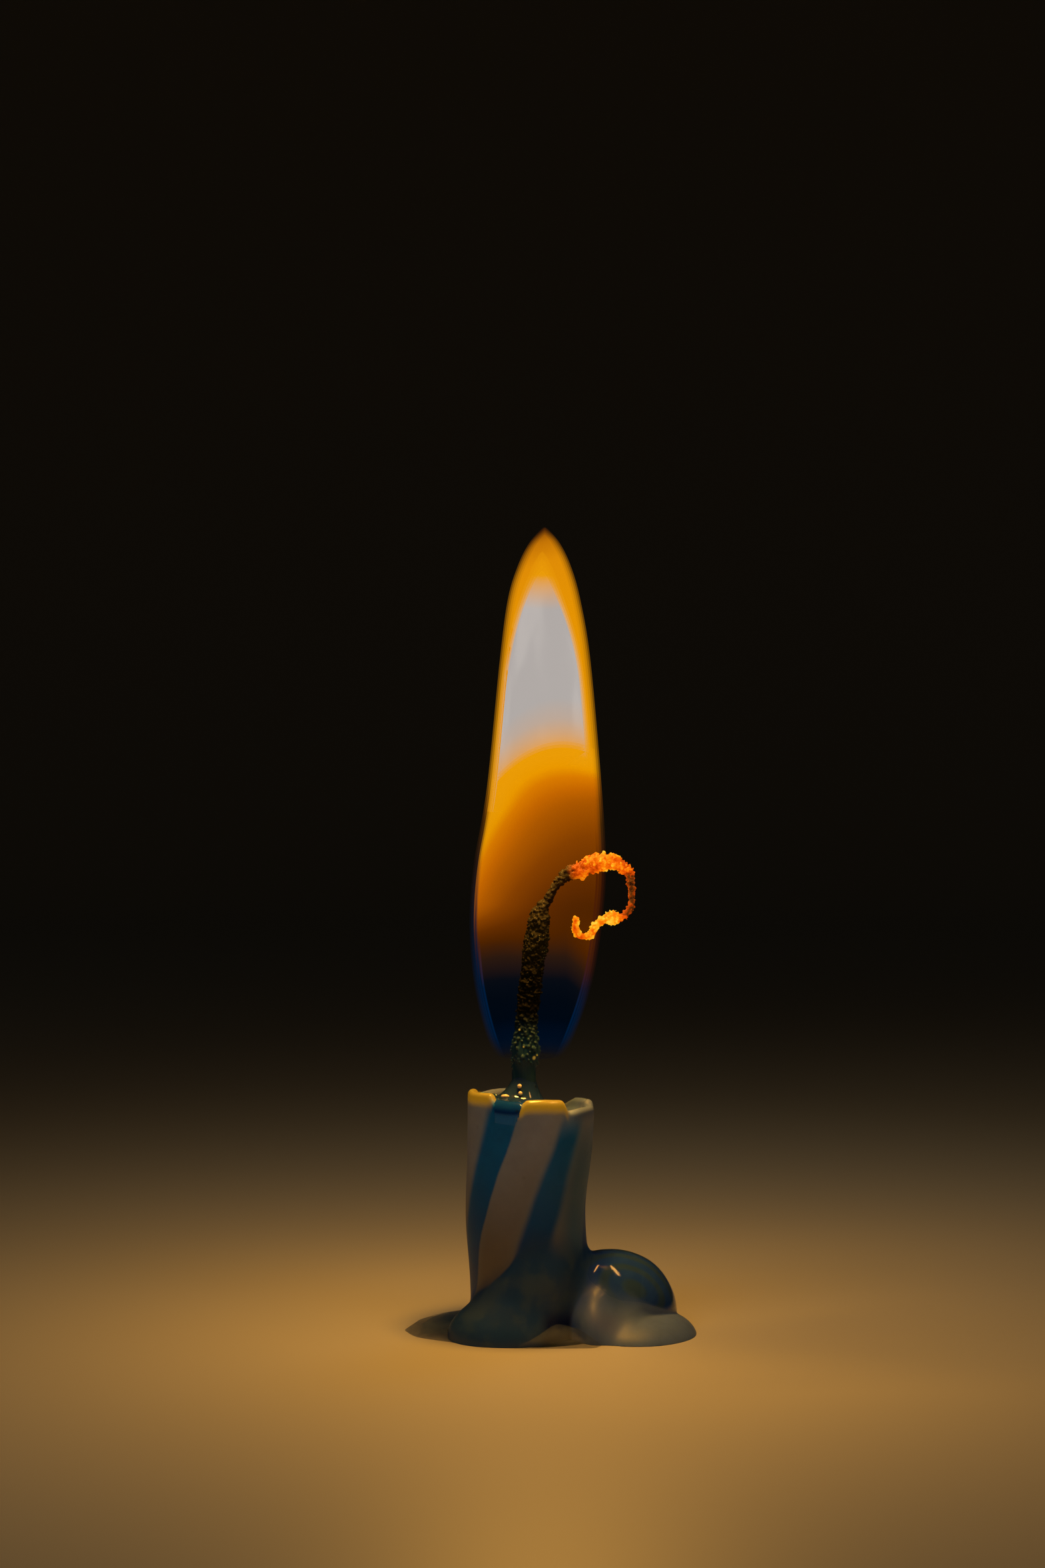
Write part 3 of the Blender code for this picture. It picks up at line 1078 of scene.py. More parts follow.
    def distances(self, points: Array) -> dict[WaxZone | None, Array]:
        """How far each point lies outside the rod and each kind of run wax.

        Args:
            points: Positions in millimetres.

        Returns:
            One distance for each point by zone, with the rod's own under None.
        """
        far = {None: self.rod.distance(points) - self.run_thickness_at(points)}
        for zone, width in zip(WaxZone, (self.run_rounding, self.skirt_rounding, self.drip_rounding)):
            lumps = [lump.distance(points) for lump in self.lumps if lump.zone is zone]
            far[zone] = reduce(lambda first, second: blend_min(first, second, width), lumps)
        return far

    def form(self, points: Array, uneven: Array) -> Array:
        """How far each point lies outside the whole lump.

        Args:
            points: Positions in millimetres.
            uneven: A small bulge at each point.

        Returns:
            One distance for each point.
        """
        far = self.distances(points)
        dark = blend_min(far[None], far[WaxZone.DARK_RUN], self.run_crease)
        both = blend_min(dark, far[WaxZone.PALE_SKIRT], self.skirt_crease)
        crease = self.drip_crease * (2.0 - eased(-1.0, 0.5, points[:, 1]))
        sharp = eased(*self.crease_sharpens, points[:, 0])
        crease = crease + (self.drip_edge_crease - crease) * sharp
        return blend_min(both, far[WaxZone.ROUND_DRIP], crease) - uneven

    def settle(self, points: Array) -> Array:
        """Moves the vertices below the upper rod onto the rounded form.

        Args:
            points: Vertex positions in millimetres.

        Returns:
            The new positions.
        """
        low = points[:, 2] < self.blend_fades[1]
        moved = points[low]
        uneven = self.uneven * ripple(moved, self.uneven_size, 7.0)
        uneven = uneven * eased(0.4, 1.2, self.rod.distance(moved))
        step = 0.01
        for _ in range(self.settle_rounds):
            value = self.form(moved, uneven)
            slope = np.stack(
                [(self.form(moved + step * axis, uneven) - value) / step for axis in np.eye(3)], axis=1
            )
            steepness = np.maximum((slope**2).sum(axis=1), 0.25)
            pull = np.clip(value / steepness, -self.settle_reach, self.settle_reach)
            pull = pull * (1.0 - eased(*self.blend_fades, moved[:, 2]))
            moved = moved - pull[:, None] * slope
        result = points.copy()
        result[low] = moved
        return result

    def smear(self, points: Array) -> Array:
        """How far the pale skirt is smeared up the front of the round drip.

        Args:
            points: Positions in millimetres.

        Returns:
            A share from 0 to 1 for each point.
        """
        x, y, height = points.T
        soft = 0.62 - 0.52 * eased(4.2, 5.6, x)
        below = looked_up(x, self.smear_edge) - height
        return eased(-soft, soft, below) * (1.0 - eased(-0.6, 0.6, y))

    def foot_tints(self, points: Array) -> dict[str, Array]:
        """The local tints of the run wax: the skirt's light streak and thin top, and the painted shade in the
        valley.

        Args:
            points: Positions in millimetres.

        Returns:
            Shares from 0 to 1 by attribute name.
        """
        x, y, height = points.T
        route = smooth_path(self.streak_route, 8)
        away = np.linalg.norm(points[:, None, [0, 2]] - route[None], axis=2).min(axis=1)
        streak = eased(-0.85, -0.05, -away) * (1.0 - eased(-1.2, -0.4, y))
        # Painted shade where the front recedes between the dark run and the skirt.
        valley_shade = eased(0.3, 0.9, x) * (1.0 - eased(1.9, 2.3, x)) * (1.0 - eased(0.9, 1.8, height))
        return {
            "streak": streak * (1.0 - eased(3.5, 5.0, x)) * (1.0 - 0.75 * eased(0.9, 2.2, height)),
            "thin_top": 0.65 * eased(1.1, 2.3, height) * (1.0 - eased(4.0, 5.0, x)),
            "valley_shade": valley_shade * (y < 0),
        }

    def zone_shares(self, points: Array) -> dict[str, Array]:
        """How much of each kind of run wax there is.

        Args:
            points: Positions in millimetres.

        Returns:
            Shares from 0 to 1 by zone name. The round drip's takes in the skirt, which is drawn over it.
        """
        far = self.distances(points)
        rod = far[None]
        below, soft = self.below_edge(points)
        sheath = eased(-0.06 - 0.75 * soft, 0.1 + 0.75 * soft, below)
        dark = np.maximum(sheath, eased(-0.12, 0.12, rod - far[WaxZone.DARK_RUN]))
        rest = np.minimum(rod, far[WaxZone.DARK_RUN])
        blur = 0.5 - 0.38 * eased(3.4, 5.6, points[:, 0])
        skirt = eased(-0.2, 0.2, rest - far[WaxZone.PALE_SKIRT])
        other = np.minimum(rest, far[WaxZone.PALE_SKIRT])
        drip = eased(-blur, blur, other - far[WaxZone.ROUND_DRIP])
        above = 1.0 - eased(*self.blend_fades, points[:, 2])
        pale = np.maximum(skirt * (1.0 - drip), self.smear(points) * np.maximum(drip, skirt))
        return {
            WaxZone.DARK_RUN.value: dark * above,
            WaxZone.PALE_SKIRT.value: pale * above,
            WaxZone.ROUND_DRIP.value: np.maximum(drip, skirt) * above,
        }

    def shares(self, points: Array) -> dict[str, Array]:
        """What the material reads: the run wax, the strands and the local tints.

        Args:
            points: Positions in millimetres.

        Returns:
            Shares from 0 to 1 by attribute name.
        """
        return {
            **self.zone_shares(points),
            "strand": self.blue_share(points) * (1.0 - self.inside(points)),
            "bleed": self.blue_share(points, self.bleed),
            **self.rim_tints(points),
            **self.foot_tints(points),
        }

    def make(self) -> Piece:
        """Builds and dresses the lump.

        Returns:
            The piece.
        """
        parts = [self.rod_mesh(), *(lump.mesh() for lump in self.lumps)]
        points, faces = remeshed(parts, self.voxel)
        points = self.settle(points)
        points, faces = cut_flat(points, faces)
        piece = new_piece("wax_body", points, faces)
        for name, share in self.shares(points).items():
            paint(piece, name, share)
        piece.data.materials.append(self.finish.material())
        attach(piece, "root")
        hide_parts("candle_stub", "wax_spill")
        return piece


# ---- the thinner wax


@dataclass(frozen=True)
class FilmFinish:
    """Thin set wax that lets the table show through, more solid where it is thicker."""

    thin: Colour = (0.105, 0.12, 0.115)
    thick: Colour = (0.095, 0.115, 0.10)
    swirl: Colour = (0.05, 0.07, 0.075)

    def material(self) -> Material:
        """Builds the material.

        Returns:
            The material.
        """
        material, build, shader = principled("wax film", Specular_IOR_Level=0.35, IOR=1.44)
        place = build.place()
        mottle = build.group(mottle_group(), Place=place, Cloud_Size=1.3, Speck_Size=0.3, Speck_Share=0.04)
        marble = build.group(marble_group(), Place=place, Vein_Size=2.6, Swirl=2.4, Sharpness=0.9)
        depth = build.field(WaxZone.FILM.value)
        uneven = build.minus(mottle.outputs["Cloud"], 0.5)
        depth = build.plus(depth, build.times(uneven, 0.3), clamp=True)
        colour = build.blend(build.ease(depth, 0.0, 0.9), self.thin, self.thick)
        colour = build.blend(build.times(marble.outputs["Vein"], 0.35), colour, self.swirl)
        rough = build.ease(mottle.outputs["Cloud"], 0.0, 1.0, 0.32, 0.48)
        solid = build.ease(depth, 0.0, 0.8, 0.14, 0.84)
        build.fill(shader, Base_Color=colour, Roughness=rough, Alpha=solid)
        build.bump(shader, 0.3, 0.03, mottle.outputs["Grain"])
        return material


@dataclass(frozen=True)
class Puddle:
    """One low dome of thin wax over an outline on the table. Millimetres."""

    outline: Pairs
    middle: tuple[float, float]
    rise: float
    solidity: float = 1.0


@dataclass
class WaxFilm:
    """The thin wax round the foot. Millimetres."""

    finish: FilmFinish = FilmFinish()
    left: Puddle = Puddle(
        (
            (-5.97, 0.0), (-5.82, -0.75), (-5.35, -1.75), (-4.6, -2.35), (-3.9, -2.75), (-3.0, -3.2),
            (-1.2, -2.4), (0.8, 0.0), (1.6, 2.6), (0.9, 3.8), (-0.6, 4.22), (-2.2, 4.2), (-3.6, 3.98),
            (-4.6, 3.2), (-5.45, 2.0),
        ), (-2.6, 0.7), 0.5,
    )
    front: Puddle = Puddle(
        (
            (-2.3, -3.7), (-1.2, -4.12), (-0.2, -4.22), (0.9, -4.24), (2.0, -4.2), (3.0, -4.05),
            (3.2, -2.8), (1.6, -1.8), (-0.8, -1.8), (-2.4, -2.4),
        ), (1.3, -2.8), 0.75, 0.2,
    )
    rings: int = 22
    corner_steps: int = 9
    roundness: float = 0.85
    edge_waver: float = 0.012
    top_waver: float = 0.22

    def dome(self, puddle: Puddle) -> tuple[Array, list, Array]:
        """Builds one puddle.

        Args:
            puddle: Its outline and height.

        Returns:
            Its vertices, its faces and how solid its wax is at each vertex, from 0 to 1.
        """
        corners = [*puddle.outline[-2:], *puddle.outline, *puddle.outline[:2]]
        edge = smooth_path(corners, self.corner_steps)[2 * self.corner_steps : -2 * self.corner_steps - 1]
        wave = ripple(np.column_stack([edge, np.zeros(len(edge))]), 0.9, 3.0)
        centre = np.array(puddle.middle)
        edge = centre + (edge - centre) * (1.0 + self.edge_waver * wave)[:, None]
        rows = []
        for share in np.linspace(1.0, 0.04, self.rings):
            ring = centre + (edge - centre) * share
            spot = np.column_stack([ring, np.zeros(len(ring))])
            lift = puddle.rise * (1.0 - share**2) ** self.roundness
            rows.append(np.column_stack([ring, lift * (1.0 + self.top_waver * ripple(spot, 1.2, 11.0))]))
        points = np.concatenate([*rows, [[*puddle.middle, 0.0]], [[*puddle.middle, puddle.rise]]])
        return points, capped_faces(self.rings, len(edge)), points[:, 2] * puddle.solidity / puddle.rise

    def make(self) -> Piece:
        """Builds and dresses the puddles as one piece.

        Returns:
            The piece.
        """
        domes = [self.dome(self.left), self.dome(self.front)]
        piece = new_piece("wax_film", *joined([(points, faces) for points, faces, _ in domes]))
        paint(piece, WaxZone.FILM.value, np.concatenate([depths for _, _, depths in domes]))
        piece.data.materials.append(self.finish.material())
        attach(piece, "root")
        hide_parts("wax_spill")
        return piece


@dataclass(frozen=True)
class MeltFinish:
    """Clear blue liquid wax, paler where the layer is thin, with painted highlights on its beads."""

    deep: Colour = (0.003, 0.022, 0.15)
    shallow: Colour = (0.004, 0.165, 0.50)
    # Painted highlight: the beads are coloured as bright glints.
    bead_highlight: Colour = (0.78, 0.60, 0.34)
    hazy: Colour = (0.065, 0.060, 0.055)
    on_wick: Colour = (0.012, 0.030, 0.075)
    speck: Colour = (0.01, 0.01, 0.01)

    def material(self) -> Material:
        """Builds the material.

        Returns:
            The material.
        """
        material, build, shader = principled(
            "molten wax", Specular_IOR_Level=0.55, IOR=1.44, Coat_Roughness=0.02,
            Subsurface_Weight=0.15, Subsurface_Radius=(0.4, 0.7, 1.0), Subsurface_Scale=0.5 * MM,
        )
        place = build.place()
        mottle = build.group(mottle_group(), Place=place, Cloud_Size=0.9, Speck_Size=0.22, Speck_Share=0.05)
        marble = build.group(marble_group(), Place=place, Vein_Size=1.4, Swirl=1.6, Sharpness=0.6)
        edge = build.math("MAXIMUM", build.field("edge"), build.times(marble.outputs["Vein"], 0.15))
        colour = build.blend(edge, self.deep, self.shallow)
        colour = build.blend(build.field("haze"), colour, self.hazy)
        colour = build.blend(build.field("climb"), colour, self.on_wick)
        colour = build.blend(build.field("bead_highlight"), colour, self.bead_highlight)
        colour = build.blend(build.times(mottle.outputs["Speck"], 0.5), colour, self.speck)
        set_part = build.times(build.field("edge"), 0.4)
        rough = build.plus(build.ease(mottle.outputs["Cloud"], 0.0, 1.0, 0.04, 0.1), set_part)
        coat = build.minus(0.4, set_part, clamp=True)
        build.fill(shader, Base_Color=colour, Roughness=rough, Coat_Weight=coat)
        build.bump(shader, 0.06, 0.03, mottle.outputs["Grain"])
        return material


@dataclass
class MeltPool:
    """The liquid in the cup, which climbs the wick and spills over the low place in the rim. Millimetres."""

    body: WaxBody = field(default_factory=WaxBody)
    finish: MeltFinish = MeltFinish()
    level: float = 10.56
    fall_right: float = 0.10
    fall_back: float = 0.131
    most_rise: float = 0.42
    least_rise: float = 0.04
    wall_reach: float = 0.3
    floor: float = 10.0
    inner_radius: float = 2.52
    lip_radius: float = 3.04
    lip_crest: float = 2.62
    lip_drop: float = 0.5
    lip_paleness: float = 0.12
    # How far in and how far down each ring lies, and how pale it is.
    under_lip: tuple[Point, ...] = (
        (0.003, 0.15, 0.9), (0.008, 0.35, 1.0), (0.016, 0.6, 1.0), (0.03, 0.8, 1.0),
    )
    lip_winding: float = math.radians(6.8)
    lip_angle: float = math.radians(-22.3)
    lip_half_width: float = math.radians(14.5)
    wick: tuple[float, float] = (-0.31, 0.0)
    wick_radius: float = 0.56
    climb: float = 1.3
    climb_reach: float = 0.36
    left_reach: float = 0.24
    # Beads of wax on the liquid, which carry the painted highlights.
    # Middle, half width and half height.
    beads: tuple[tuple[Point, float, float], ...] = (
        ((-0.54, -0.80, 11.66), 0.11, 0.11),
        ((-0.50, -0.92, 11.33), 0.10, 0.11),
        ((-1.22, -0.92, 11.20), 0.20, 0.09),
    )
    rings: int = 60
    columns: int = 200
    crowding: float = 1.6

    def lip_share(self, front: Array) -> Array:
        """How much of the overflow there is at each angle from the front."""
        away = np.abs(wrapped(front - self.lip_angle))
        return 1.0 - eased(0.85 * self.lip_half_width, 1.2 * self.lip_half_width, away)

    def surface(self, spot: Array, front: Array, lip: Array) -> tuple[Array, Array]:
        """The liquid's height along one ring, and how near the ring is to the cup's wall.

        Args:
            spot: The ring's points on the plan.
            front: Each column's angle from the front.
            lip: How much of the overflow there is at each column.

        Returns:
            Heights in millimetres, and nearness from 0 to 1.
        """
        out = np.linalg.norm(spot, axis=1)
        plane = self.level - self.fall_right * spot[:, 0] - self.fall_back * spot[:, 1]
        right = eased(-0.1, 0.7, np.sin(front)) * (1.0 - eased(0.6, 0.95, np.cos(front)))
        most = self.most_rise + (self.least_rise - self.most_rise) * right
        contact = np.clip(self.body.rim_at(front) - 0.09 - plane, -0.12, most)
        contact = contact + lip * (self.body.rim_at(front) + 0.1 - plane - contact)
        near = np.exp(-np.maximum(self.inner_radius - out, 0.0) / self.wall_reach)
        away = np.linalg.norm(spot - np.array(self.wick), axis=1) - self.wick_radius
        left = eased(0.0, 1.0, (self.wick[0] - spot[:, 0]) / (away + self.wick_radius))
        climb = self.climb * np.exp(-np.maximum(away, -0.2) / (self.climb_reach + self.left_reach * left))
        fall = np.clip((out - self.lip_crest) / (self.lip_radius - self.lip_crest), 0.0, 1.0)
        drop = lip * self.lip_drop * (1.0 - np.sqrt(np.maximum(1.0 - fall**2, 0.0)))
        return plane + contact * near + climb - drop, near

    def make(self) -> Piece:
        """Builds and dresses the liquid.

        Returns:
            The piece.
        """
        angle = turns(self.columns)
        front = wrapped(angle - FRONT)
        lip = self.lip_share(front)
        outer = self.inner_radius + (self.lip_radius - self.inner_radius) * lip
        edge = np.column_stack(around(outer, angle))
        centre, none = np.array(self.wick), np.zeros(self.columns)
        rows, tints = [], []
        for share in 1.0 - 0.92 * np.linspace(1.0, 0.0, self.rings) ** self.crowding:
            spot = centre + (edge - centre) * share
            height, near = self.surface(spot, front, lip)
            rows.append(np.column_stack([spot, height]))
            spill = lip * eased(2.3, 2.8, np.linalg.norm(spot, axis=1))
            thin = np.clip(0.5 * near**2 * (1.0 - lip) + self.lip_paleness * spill, 0, 1)
            haze = near * (1.0 - lip) * (1.0 - 0.6 * eased(0.2, 0.8, np.cos(front)))
            tints.append((thin, haze, eased(0.15, 0.6, height - self.level - 0.3 * near)))
        lowest, back = rows[-1][:, 2], 0.96 * self.inner_radius
        for inward, down, paleness in self.under_lip:
            here = np.minimum(self.lip_share(front + self.lip_winding * down), lip)
            radius = back + (self.lip_radius * (1.0 - inward) - back) * here
            height = lowest - down * here - 0.35 * down * (1.0 - here)
            rows.append(np.column_stack([*around(radius, angle), height]))
            tints.append((paleness * here, none, none))
        rows.append(np.column_stack([edge * 0.9, np.full(self.columns, self.floor)]))
        tints.append((none, none, none))
        tip = self.level + self.climb * 1.3
        points = np.concatenate([*rows, [[*self.wick, tip]], [[*self.wick, self.floor]]])
        shares = np.concatenate([np.stack(tints).transpose(0, 2, 1).reshape(-1, 3), [[0, 0, 1], [0, 0, 0]]])
        liquid = len(points)
        beads = [ball(middle, (wide, tall, tall)) for middle, wide, tall in self.beads]
        points, faces = joined([(points, capped_faces(len(rows), self.columns)), *beads])
        piece = new_piece("melt", points, faces)
        shares = np.concatenate([shares, np.zeros((len(points) - liquid, 3))])
        for name, share in zip(("edge", "haze", "climb"), shares.T):
            paint(piece, name, share)
        paint(piece, "bead_highlight", np.arange(len(points)) >= liquid)
        piece.data.materials.append(self.finish.material())
        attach(piece, "root")
        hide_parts("melt_pool")
        return piece


# ---- the wick


class WickPart(Enum):
    """The stretches of the wick, which are crusted in their own ways."""

    DAMP = "damp"
    CHARRED = "charred"
    EMBER = "ember"


@dataclass(frozen=True)
class Crumbs:
    """Crumbs of one kind. Their sizes are in millimetres, their reach in shares of the wick's radius."""

    part: WickPart
    count: int
    size: Span
    reach: Span


@dataclass(frozen=True)
class WickFinish:
    """Cotton: wax-soaked at its foot, crusted black above, glowing where it curls out of the flame."""

    soaked: Colour = (0.006, 0.040, 0.062)
    soaked_edge: Colour = (0.034, 0.060, 0.066)
    char: Colour = (0.0016, 0.0013, 0.0009)
    crust: Colour = (0.0060, 0.0046, 0.0020)
    glint: Colour = (0.050, 0.038, 0.012)
    backlight: Colour = (0.0035, 0.0019, 0.0002)
    gleam: Colour = (0.078, 0.060, 0.013)
    # Painted highlights: the glints at the wick's foot, given off as light.
    foot_glint: Colour = (0.62, 0.34, 0.03)
    ember_base: Colour = (0.014, 0.0035, 0.001)
    ember: Stops = (
        (0.0, (0.015, 0.004, 0.001)), (0.15, (0.10, 0.020, 0.001)), (0.32, (0.40, 0.036, 0.0)),
        (0.50, (0.80, 0.085, 0.001)), (0.68, (0.96, 0.20, 0.002)), (0.84, (1.0, 0.42, 0.010)),
        (1.0, (1.0, 0.66, 0.06)),
    )

    def material(self) -> Material:
        """Builds the material.

        Returns:
            The material.
        """
        material, build, shader = principled(
            "charred cotton", Specular_IOR_Level=0.09, IOR=1.45, Coat_Roughness=0.1, Emission_Strength=1.0
        )
        place = build.place()
        wet, ember, crumb = build.field("wet"), build.field("ember"), build.field("crumb")
        mottle = build.group(
            mottle_group(), Place=place, Cloud_Size=0.5, Speck_Size=0.065, Speck_Share=0.15, Grain_Size=0.04
        )
        grit = build.noise(place, 8.0 / MM, 1.0)
        speck = build.times(mottle.outputs["Speck"], build.ease(grit, 0.46, 0.58))
        dry = build.blend(mottle.outputs["Cloud"], self.char, self.crust)
        dry = build.blend(build.times(speck, build.field("sparkle")), dry, self.glint)
        edge = build.blend(build.times(crumb, 0.7), self.soaked, self.soaked_edge)
        soaked = build.blend(build.times(speck, 0.06), edge, self.glint)
        colour = build.blend(wet, dry, soaked)
        colour = build.blend(ember, colour, self.ember_base)
        rough = build.minus(0.78, build.times(speck, 0.4))
        rough = build.minus(rough, build.times(wet, 0.45), clamp=True)
        build.fill(shader, Base_Color=colour, Roughness=rough, Coat_Weight=build.times(wet, 0.4))
        flecks = build.noise(place, 4.2 / MM, 3.0, 0.6)
        patches = build.noise(place, 1.1 / MM, 1.0)
        level = build.times(build.minus(flecks, 0.5), 0.75)
        level = build.plus(level, build.times(build.minus(patches, 0.5), 0.9))
        level = build.plus(level, build.times(crumb, 0.20))
        level = build.plus(level, build.field("glow"), clamp=True)
        shine = build.times(build.field("sparkle"), build.minus(1.0, wet, clamp=True))
        backlit = build.blend(shine, BLACK, self.backlight)
        raised = build.ease(crumb, 0.1, 0.9, 0.25, 1.0)
        gleaming = build.times(build.times(speck, shine), raised)
        backlit = build.blend(gleaming, backlit, self.gleam)
        light = build.blend(ember, backlit, build.ramp(level, self.ember))
        # Painted highlights at the wick's foot.
        light = build.blend(build.times(build.field("foot_glint"), 0.8), light, self.foot_glint)
        build.fill(shader, Emission_Color=light)
        build.bump(shader, 0.5, 0.02, mottle.outputs["Grain"])
        return material


@dataclass
class Wick:
    """The wick as a crust of fused crumbs along its route. Millimetres."""

    finish: WickFinish = WickFinish()
    # X, Y, Z and radius.
    route: tuple[tuple[float, float, float, float], ...] = (
        (-0.31, 0.00, 9.90, 0.46), (-0.31, 0.00, 11.60, 0.58), (-0.31, 0.00, 12.40, 0.60),
        (-0.27, -0.02, 13.15, 0.67), (-0.24, -0.05, 13.76, 0.60), (-0.19, -0.08, 14.91, 0.48),
        (-0.05, -0.10, 16.21, 0.51), (0.09, -0.10, 17.36, 0.50), (0.18, -0.12, 18.11, 0.55),
        (0.34, -0.15, 18.96, 0.51), (0.40, -0.17, 19.61, 0.46), (0.52, -0.19, 20.01, 0.31),
        (0.78, -0.22, 20.36, 0.19), (1.05, -0.27, 20.91, 0.18), (1.37, -0.33, 21.32, 0.21),
        (1.74, -0.43, 21.67, 0.27), (2.19, -0.56, 21.81, 0.36), (2.88, -0.85, 22.14, 0.44),
        (3.66, -1.15, 22.30, 0.38), (4.28, -1.42, 22.06, 0.30), (4.62, -1.60, 21.72, 0.23),
        (4.67, -1.75, 21.29, 0.17), (4.71, -1.88, 20.70, 0.14), (4.67, -1.97, 20.21, 0.14),
        (4.47, -2.05, 19.90, 0.15), (4.14, -2.13, 19.68, 0.18), (3.81, -2.25, 19.70, 0.33),
        (3.43, -2.38, 19.60, 0.20), (3.08, -2.50, 19.46, 0.17), (2.91, -2.62, 19.22, 0.17),
        (2.81, -2.72, 18.98, 0.17), (2.53, -2.85, 18.88, 0.15), (2.24, -2.98, 18.92, 0.16),
        (2.07, -3.08, 19.20, 0.16), (2.06, -3.14, 19.50, 0.14), (2.16, -3.20, 19.78, 0.09),
    )
    steps: int = 9
    sides: int = 18
    ridge: float = 0.05
    ridge_pitch: float = 2.6
    damp: Span = (12.3, 13.0)
    dry: Span = (13.4, 15.3)
    ember: Span = (15.0, 16.3)
    # Number along the route, and glow.
    glow: Pairs = (
        (15.0, 0.30), (16.0, 0.36), (17.0, 0.48), (17.8, 0.62), (18.5, 0.62), (19.2, 0.48), (20.3, 0.34),
        (21.0, 0.16), (23.6, 0.12), (24.8, 0.25), (25.5, 0.70), (26.5, 0.76), (28.0, 0.62), (31.0, 0.60),
        (33.0, 0.66), (35.0, 0.62),
    )
    # Painted glints at the wick's foot: middle and size.
    foot_glints: tuple[tuple[Point, float], ...] = (
        ((0.17, -0.7, 12.95), 0.10),
        ((0.30, -0.6, 13.08), 0.06),
        ((-0.35, -0.7, 13.5), 0.035),
        ((-0.55, -0.6, 14.3), 0.05),
    )
    crumbs: tuple[Crumbs, ...] = (
        Crumbs(WickPart.CHARRED, 2300, (0.035, 0.085), (0.86, 1.02)),
        Crumbs(WickPart.CHARRED, 260, (0.08, 0.14), (0.82, 0.98)),
        Crumbs(WickPart.EMBER, 1500, (0.03, 0.075), (0.6, 1.02)),
        Crumbs(WickPart.EMBER, 90, (0.07, 0.12), (0.75, 1.0)),
        Crumbs(WickPart.DAMP, 150, (0.05, 0.12), (0.9, 1.02)),
    )
    voxel: float = 0.034
    seed: int = 11

    def frames(self, path: Array) -> tuple[Array, Array]:
        """Two directions across the path at each of its points.

        Args:
            path: Points with their radii.

        Returns:
            The two directions, one row each for every point.
        """
        along = np.gradient(path[:, :3], axis=0)
        along /= np.linalg.norm(along, axis=1)[:, None]
        first = np.cross(along, (0.0, 1.0, 0.2))
        first /= np.linalg.norm(first, axis=1)[:, None]
        return first, np.cross(along, first)

    def core(self, path: Array, fullness: Array, flatness: Array) -> Mesh:
        """The solid middle of the wick, with the braid's three strands showing as low ridges.

        Args:
            path: Points with their radii.
            fullness: The core's radius at each point as a share of the wick's.
            flatness: How much thinner it is from front to back there.

        Returns:
            Its vertices and faces.
        """
        first, second = self.frames(path)
        turn = turns(self.sides)
        rows = []
        for i, (x, y, z, radius) in enumerate(path):
            ridges = 1.0 + self.ridge * np.cos(3 * turn + self.ridge_pitch * z)
            reach = (radius * fullness[i] * ridges)[:, None]
            across = np.cos(turn)[:, None] * first[i] + flatness[i] * np.sin(turn)[:, None] * second[i]
            rows.append(np.array((x, y, z)) + reach * across)
        vertices = np.concatenate([*rows, path[:1, :3], path[-1:, :3]])
        return vertices, capped_faces(len(path), self.sides)

    def crust(self, path: Array, chances: Array, crumbs: Crumbs, rng: np.random.Generator) -> Mesh:
        """Scatters crumbs of one kind round the path.

        Args:
            path: Points with their radii.
            chances: How likely a crumb is at each point.
            crumbs: Their number, sizes and reach.
            rng: The source of the scatter.

        Returns:
            The crumbs' vertices and faces.
        """
        shape = bmesh.new()
        bmesh.ops.create_icosphere(shape, subdivisions=1, radius=1.0)
        ico = np.array([vertex.co for vertex in shape.verts])
        shape.verts.index_update()
        ico_faces = np.array([[vertex.index for vertex in face.verts] for face in shape.faces])
        shape.free()
        first, second = self.frames(path)
        count = crumbs.count
        at = rng.choice(len(path), size=count, p=chances / chances.sum())
        turn = rng.uniform(0, math.tau, count)[:, None]
        away = rng.uniform(*crumbs.reach, count) * path[at, 3]
        middles = path[at, :3] + away[:, None] * (np.cos(turn) * first[at] + np.sin(turn) * second[at])
        middles += rng.normal(0, 0.03, (count, 3))
        radii = rng.uniform(*crumbs.size, count)[:, None] * rng.uniform(0.65, 1.25, (count, 3))
        spin = np.linalg.qr(rng.normal(size=(count, 3, 3)))[0]
        points = np.einsum("nij,nvj->nvi", spin, ico[None] * radii[:, None]) + middles[:, None]
        faces = (ico_faces[None] + len(ico) * np.arange(count)[:, None, None]).reshape(-1, 3)
        turned = np.repeat(np.linalg.det(spin) < 0, len(ico_faces))
        faces[turned] = faces[turned][:, ::-1]
        return points.reshape(-1, 3), [tuple(face) for face in faces]

    def sparkle(self, height: Array, row: Array) -> Array:
        """How much the crust glints in the flame's light.

        Args:
            height: Heights in millimetres.
            row: The same places as numbers along the route.

        Returns:
            A share from 0 to 1 for each place.
        """
        low = 0.15 * eased(14.0, 15.2, height) + 0.15 * eased(15.8, 17.2, height)
        return (low + 0.7 * eased(17.2, 18.2, height)) * (1.0 - 0.6 * eased(10.8, 12.5, row))

    def foot_glint(self, points: Array) -> Array:
        """How strongly each point shows one of the painted glints at the wick's foot.

        Args:
            points: Positions in millimetres.

        Returns:
            A share from 0 to 1 for each point.
        """
        result = np.zeros(len(points))
        for place, size in self.foot_glints:
            away = np.linalg.norm((points - place) * (1.0, 0.3, 1.0), axis=1) / size
            result = np.maximum(result, eased(-1.4, -0.6, -away))
        return result

